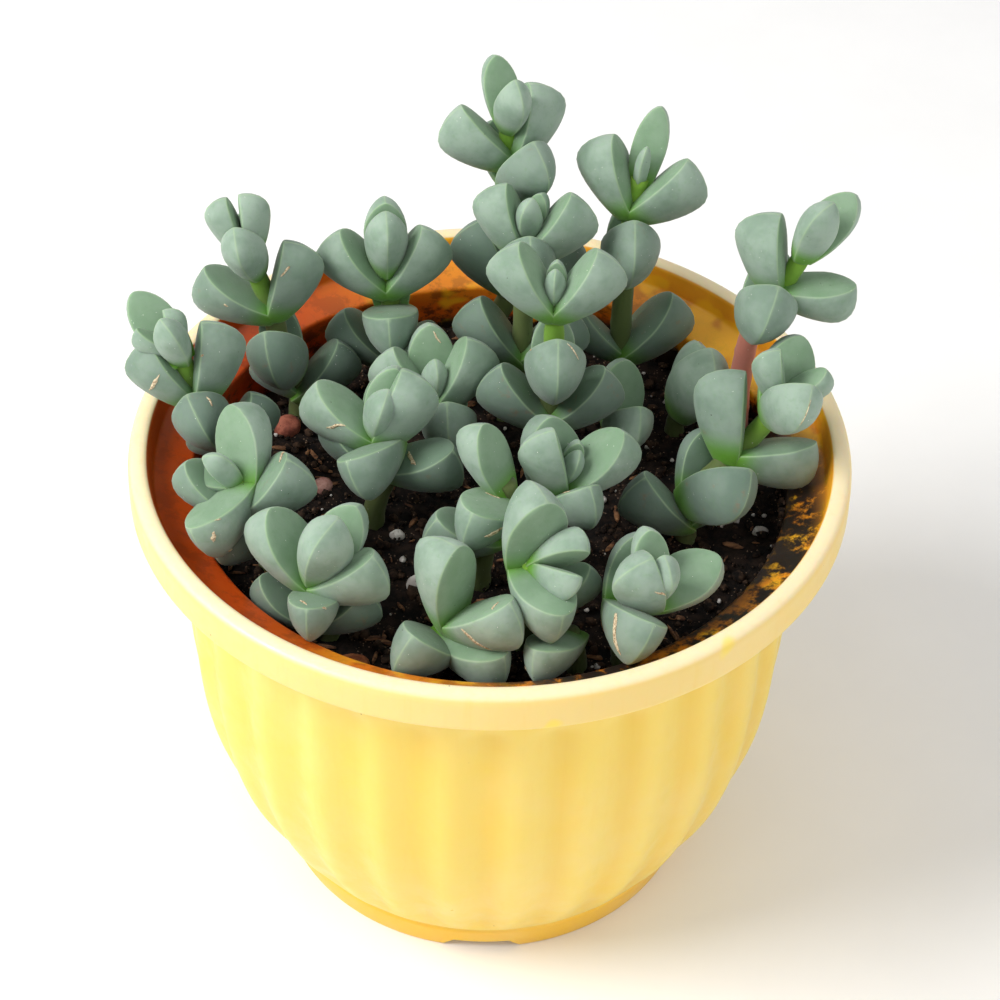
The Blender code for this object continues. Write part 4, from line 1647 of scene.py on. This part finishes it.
SHOOTS = {
    "shoot_back_tall": Shoot((-4, 49), (
        Pair((5.0, 52, 121.5), (17, 18), (40, 34), 10),
        Pair((4.0, 54, 148.0), (14, 17), (30, 36), 122),
        Pair((3.0, 55, 155.0), (17, 17), (20, 36), 15),
        Pair((2.5, 55, 164.0), (14, 14), (26, 22), 112, 0.85),
    )),
    "shoot_back_middle": Shoot((3, 33), (
        Pair((6.5, 34, 114.0), (16, 17), (42, 40), 0),
        Pair((7.0, 36, 134.0), (12, 17), (26, 28), 92),
        Pair((7.5, 37, 142.0), (17, 16), (28, 24), 352),
        Pair((8.0, 37, 146.0), (9, 10), (12, 10), 60),
    )),
    "shoot_centre": Shoot((13, 12), (
        Pair((13.0, 12, 114.0), (17, 17), (44, 42), 3),
        Pair((13.5, 13, 123.5), (14, 18), (26, 28), 92),
        Pair((13.5, 14, 143.5), (17, 17), (31, 29), 355),
        Pair((13.5, 14, 145.5), (8, 8), (9, 7), 84),
    ), (
        Scar(3, 1, 0.78, 160, 2.0, 0.4, 80),
        Scar(3, 1, 0.92, -10, 3.0, 0.4, 30),
    )),
    "shoot_back_right": Shoot((31, 42), (
        Pair((30.0, 43, 108.5), (18, 13), (42, 40), 8),
        Pair((30.5, 46, 130.5), (14, 18), (16, 26), 92),
        Pair((31.5, 47, 147.0), (17, 17), (36, 26), 345),
        Pair((32.5, 48, 152.5), (17, 9), (16, 8), 75, 0.62),
    )),
    "shoot_right_leaning": Shoot((57, 24), (
        Pair((59.0, 22, 135.0), (15, 18), (26, 30), 80),
        Pair((64.0, 22, 144.0), (16, 17), (56, 34), 345),
        Pair((68.5, 22, 154.0), (15, 14), (24, 10), 50, 0.9),
    ), blush=1.0),
    "shoot_right": Shoot((44, -8), (
        Pair((43.5, -8, 102.0), (14, 17), (42, 42), 18),
        Pair((45.5, -8, 108.5), (15, 18), (34, 36), 110),
        Pair((55.0, -2, 116.0), (17, 18), (42, 38), 355),
        Pair((62.5, -1, 128.0), (16, 16), (34, 32), 92),
        Pair((63.5, -1, 131.5), (11, 12), (36, 24), 0),
    ), (
        Scar(2, 1, 0.9, 280, 4.0, 0.8, 40),
    )),
    "shoot_right_inner": Shoot((43, 29), (
        Pair((45.0, 29, 104.0), (14, 18), (6, 6), 100),
    ), (
        Scar(1, 0, 0.93, 240, 2.7, 0.6, 80),
    )),
    "shoot_left_back": Shoot((-45, 32), (
        Pair((-45.0, 32, 104.0), (16, 12), (46, 34), 0),
        Pair((-47.5, 32, 111.0), (14, 18), (30, 30), 92),
        Pair((-51.0, 33, 127.0), (17, 17), (28, 42), 0),
        Pair((-54.5, 34, 138.0), (11, 14), (20, 22), 92),
        Pair((-55.5, 34, 143.0), (13, 13), (6, 6), 5, 0.9),
    ), (
        Scar(3, 0, 0.78, 180, 3.3, 0.6, 50),
        Scar(3, 1, 0.62, -3, 1.1, 0.5, 0),
    )),
    "shoot_left_leaning": Shoot((-54, 3), (
        Pair((-59.0, 3.0, 110.0), (15, 9), (48, 38), 10),
        Pair((-62.0, 3.0, 115.5), (14, 17), (30, 30), 105),
        Pair((-65.5, 4.5, 125.0), (17, 16), (26, 16), 8),
        Pair((-68.5, 4.5, 135.5), (16, 13), (34, 22), 122, 0.85),
        Pair((-69.5, 4.5, 137.0), (9, 9), (24, 22), 15),
    ), (
        Scar(3, 1, 0.62, -20, 4.5, 0.7, 55),
        Scar(3, 0, 0.75, 160, 2.2, 0.5, 80),
        Scar(4, 1, 0.88, -15, 2.4, 0.5, 60),
    )),
    "shoot_back_left": Shoot((-24, 40), (
        Pair((-23.5, 40, 108.0), (13, 16), (46, 44), 0),
        Pair((-23.5, 40, 121.5), (14, 17), (36, 62), 92),
        Pair((-24.5, 40, 129.0), (17, 17), (32, 34), 0),
        Pair((-24.5, 40, 135.0), (14, 14), (8, 3), 95),
    )),
    "shoot_centre_back": Shoot((-12, 16), (
        Pair((-9.5, 16, 105.0), (13, 17), (34, 32), 92),
        Pair((-13.0, 17, 114.0), (17, 16), (36, 24), 5),
        Pair((-13.0, 17, 115.5), (15, 10), (26, 6), 100),
    ), (
        Scar(1, 0, 0.85, 102, 3.0, 0.5, -15),
    )),
    "shoot_centre_left": Shoot((-26, -5), (
        Pair((-22.0, -6, 114.5), (17, 17), (60, 56), 338),
        Pair((-23.0, -6, 120.0), (14, 17), (36, 68), 70),
        Pair((-25.0, -5, 122.0), (17, 17), (34, 36), 350),
        Pair((-24.5, -5, 124.0), (13, 12), (22, 10), 80),
    ), (
        Scar(2, 1, 0.55, 10, 7.0, 0.7, -70),
        Scar(4, 0, 0.5, 100, 6.0, 0.7, 40),
    )),
    "shoot_left": Shoot((-48, -20), (
        Pair((-50.0, -21, 106.5), (12, 15), (46, 36), 62),
        Pair((-53.5, -22, 116.0), (18, 15), (46, 40), 352),
        Pair((-53.5, -22, 121.0), (17, 17), (40, 74), 60),
        Pair((-55.5, -22, 122.0), (9, 9), (26, 18), 345),
    ), (
        Scar(3, 0, 0.9, 60, 8.0, 0.8, 85),
        Scar(2, 1, 0.88, -20, 2.4, 0.7, 100),
        Scar(2, 1, 0.68, -60, 2.0, 0.7, 40),
        Scar(2, 1, 0.8, 20, 2.0, 0.6, 60),
    )),
    "shoot_front_left": Shoot((-34, -41), (
        Pair((-36.0, -42, 102.0), (15, 15), (50, 50), 345),
        Pair((-35.5, -42, 110.0), (13, 15), (42, 64), 84),
        Pair((-36.0, -42, 113.0), (17, 18), (46, 42), 335),
        Pair((-35.0, -42, 116.0), (15, 16), (24, 6), 62),
    ), (
        Scar(3, 1, 0.84, 100, 2.8, 0.5, -30),
        Scar(3, 1, 0.88, 20, 2.7, 0.6, 80),
    )),
    "shoot_centre_front": Shoot((13, -17), (
        Pair((15.5, -18, 115.0), (18, 15), (32, 38), 118),
        Pair((16.0, -18, 120.5), (17, 15), (36, 22), 14),
        Pair((16.5, -18, 122.0), (8, 8), (8, 6), 90),
    ), (
        Scar(3, 1, 0.75, 120, 3.2, 0.6, 20),
    )),
    "shoot_front_middle": Shoot((8, -43), (
        Pair((10.5, -43, 108.5), (14, 0), (50, 50), 6),
        Pair((8.5, -44, 119.0), (18, 17), (22, 60), 108),
        Pair((11.5, -46, 121.0), (12, 11), (14, 12), 80),
    )),
    "shoot_front": Shoot((-11, -49), (
        Pair((-8.5, -49, 102.0), (0, 17), (46, 54), 50),
        Pair((-8.5, -49, 105.0), (17, 0), (66, 46), 315),
        Pair((-6.5, -50, 110.0), (18, 17), (26, 26), 140),
    ), (
        Scar(1, 1, 0.55, 195, 7.0, 0.9, 80),
        Scar(1, 1, 0.85, 100, 3.5, 0.6, 80),
    )),
    "shoot_front_right": Shoot((29, -47), (
        Pair((28.5, -48, 112.0), (16, 17), (44, 52), 92),
        Pair((34.5, -48, 115.5), (16, 16), (42, 38), 32),
        Pair((34.5, -48, 118.5), (12, 12), (20, 18), 110),
    ), (
        Scar(3, 1, 0.72, 200, 7.5, 1.1, 85),
        Scar(3, 0, 0.8, 200, 4.5, 1.4, 30),
        Scar(2, 1, 0.7, 10, 3.8, 0.6, -60),
    )),
    "shoot_front_low": Shoot((19, -49), (
        Pair((17.5, -49, 104.5), (0, 15), (40, 60), 60),
    ), (
        Scar(1, 1, 0.75, 215, 4.2, 1.0, 20),
    )),
    "shoot_middle_low": Shoot((-2, -24), (
        Pair((0.5, -24, 110.0), (0, 16), (50, 66), 25),
        Pair((3.5, -24, 120.5), (0, 17), (50, 68), 60),
        Pair((3.5, -24, 124.0), (15, 0), (24, 30), 150),
    ), (
        Scar(2, 1, 0.4, 96, 2.1, 0.6, 80),
        Scar(2, 1, 0.8, -12, 3.5, 0.8, -50),
    )),
    "shoot_middle_right": Shoot((28, 21), (
        Pair((29.5, 21, 103.0), (15, 15), (32, 32), 100),
    )),
}


@dataclass(frozen=True)
class Lamp:
    """A round soft light: its place and width in metres, its power in watts, and its colour."""

    name: str
    place: Colour
    width: float
    power: float
    tint: Colour

    def hang(self, target: Colour) -> None:
        """Hang the light.

        Args:
            target: The point that it looks at.
        """
        light = bpy.data.lights.new(self.name, "AREA")
        light.shape = "DISK"
        light.size = self.width
        light.energy = self.power
        light.color = self.tint
        lamp = bpy.data.objects.new(self.name, light)
        aim = (Vector(target) - Vector(self.place)).to_track_quat("-Z", "Y").to_matrix()
        lamp.matrix_world = Matrix.Translation(self.place) @ aim.to_4x4()
        bpy.context.scene.collection.objects.link(lamp)


@dataclass(frozen=True)
class Studio:
    """A plain pale floor, a broad soft light from the upper left, and a long lens."""

    eye: Colour = (0.0, -0.455154, 0.506941)
    right: Colour = (0.99981165, 0.00981459, 0.01674344)
    up: Colour = (-0.01901328, 0.66842113, 0.74353997)
    back: Colour = (-0.00389414, -0.74371827, 0.66848184)
    lens: float = 97.6
    sensor: float = 36.0
    floor_size: float = 6.0
    sky: float = 0.60
    white: Colour = (1.0, 1.0, 1.0)
    target: Colour = (0.0, 0.0, 0.09)
    key: Lamp = Lamp("key_light", (-0.85, -0.25, 0.95), 0.7, 15.5, (1.0, 0.985, 0.96))
    fill: Lamp = Lamp("fill_light", (0.9, -0.8, 0.8), 1.2, 4.0, (1.0, 0.99, 0.97))
    nearest: float = 0.01
    floor_squares: int = 8
    least_samples: int = 16
    noise: float = 0.03

    def camera(self) -> bpy.types.Object:
        """Set up the camera where the photograph was taken from.

        Returns:
            The camera.
        """
        lens = bpy.data.cameras.new("camera")
        lens.lens = self.lens
        lens.sensor_width = self.sensor
        lens.clip_start = self.nearest
        camera = bpy.data.objects.new("camera", lens)
        turn = Matrix((self.right, self.up, self.back)).transposed()
        camera.matrix_world = Matrix.Translation(self.eye) @ turn.to_4x4()
        bpy.context.scene.collection.objects.link(camera)
        bpy.context.scene.camera = camera
        return camera

    def floor(self) -> None:
        """Lay the floor."""
        shape = bmesh.new()
        bmesh.ops.create_grid(shape, x_segments=self.floor_squares, y_segments=self.floor_squares,
                              size=0.5 * self.floor_size / MM)
        floor = make_piece("floor", shape, [PaleFloor().material("pale_floor")])

    def sampling(self) -> None:
        """Let pixels that are smooth already, such as the plain floor's, stop early."""
        cycles = bpy.context.scene.cycles
        cycles.use_adaptive_sampling = True
        cycles.adaptive_min_samples = self.least_samples
        cycles.adaptive_threshold = self.noise

    def build(self) -> None:
        """Set up the camera, the lights, the sky, the floor and the sampling."""
        self.sampling()
        self.camera()
        self.floor()
        self.key.hang(self.target)
        self.fill.hang(self.target)
        world = bpy.data.worlds.new("sky")
        world.use_nodes = True
        background = world.node_tree.nodes["Background"]
        background.inputs["Color"].default_value = (*self.white, 1.0)
        background.inputs["Strength"].default_value = self.sky
        bpy.context.scene.world = world
        bpy.context.scene.view_settings.view_transform = "Standard"


def main() -> None:
    """Build the potted plant and the studio, piece by piece."""
    Studio().build()
    pot = FlutedPot()
    pot.build()
    bed = SoilBed(pot)
    bed.build()
    for stone in STONES:
        stone.build(bed)
    skins = (LeafWax().material("leaf_wax"), Cork().material("scar_cork"))
    noise.seed_set(WAVE_SEED)
    for node, shoot in SHOOTS.items():
        LeafyShoot(node, shoot).build(skins)
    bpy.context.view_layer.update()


if __name__ == "__main__":
    logging.basicConfig(level=logging.INFO, format="%(name)s %(message)s")
    main()
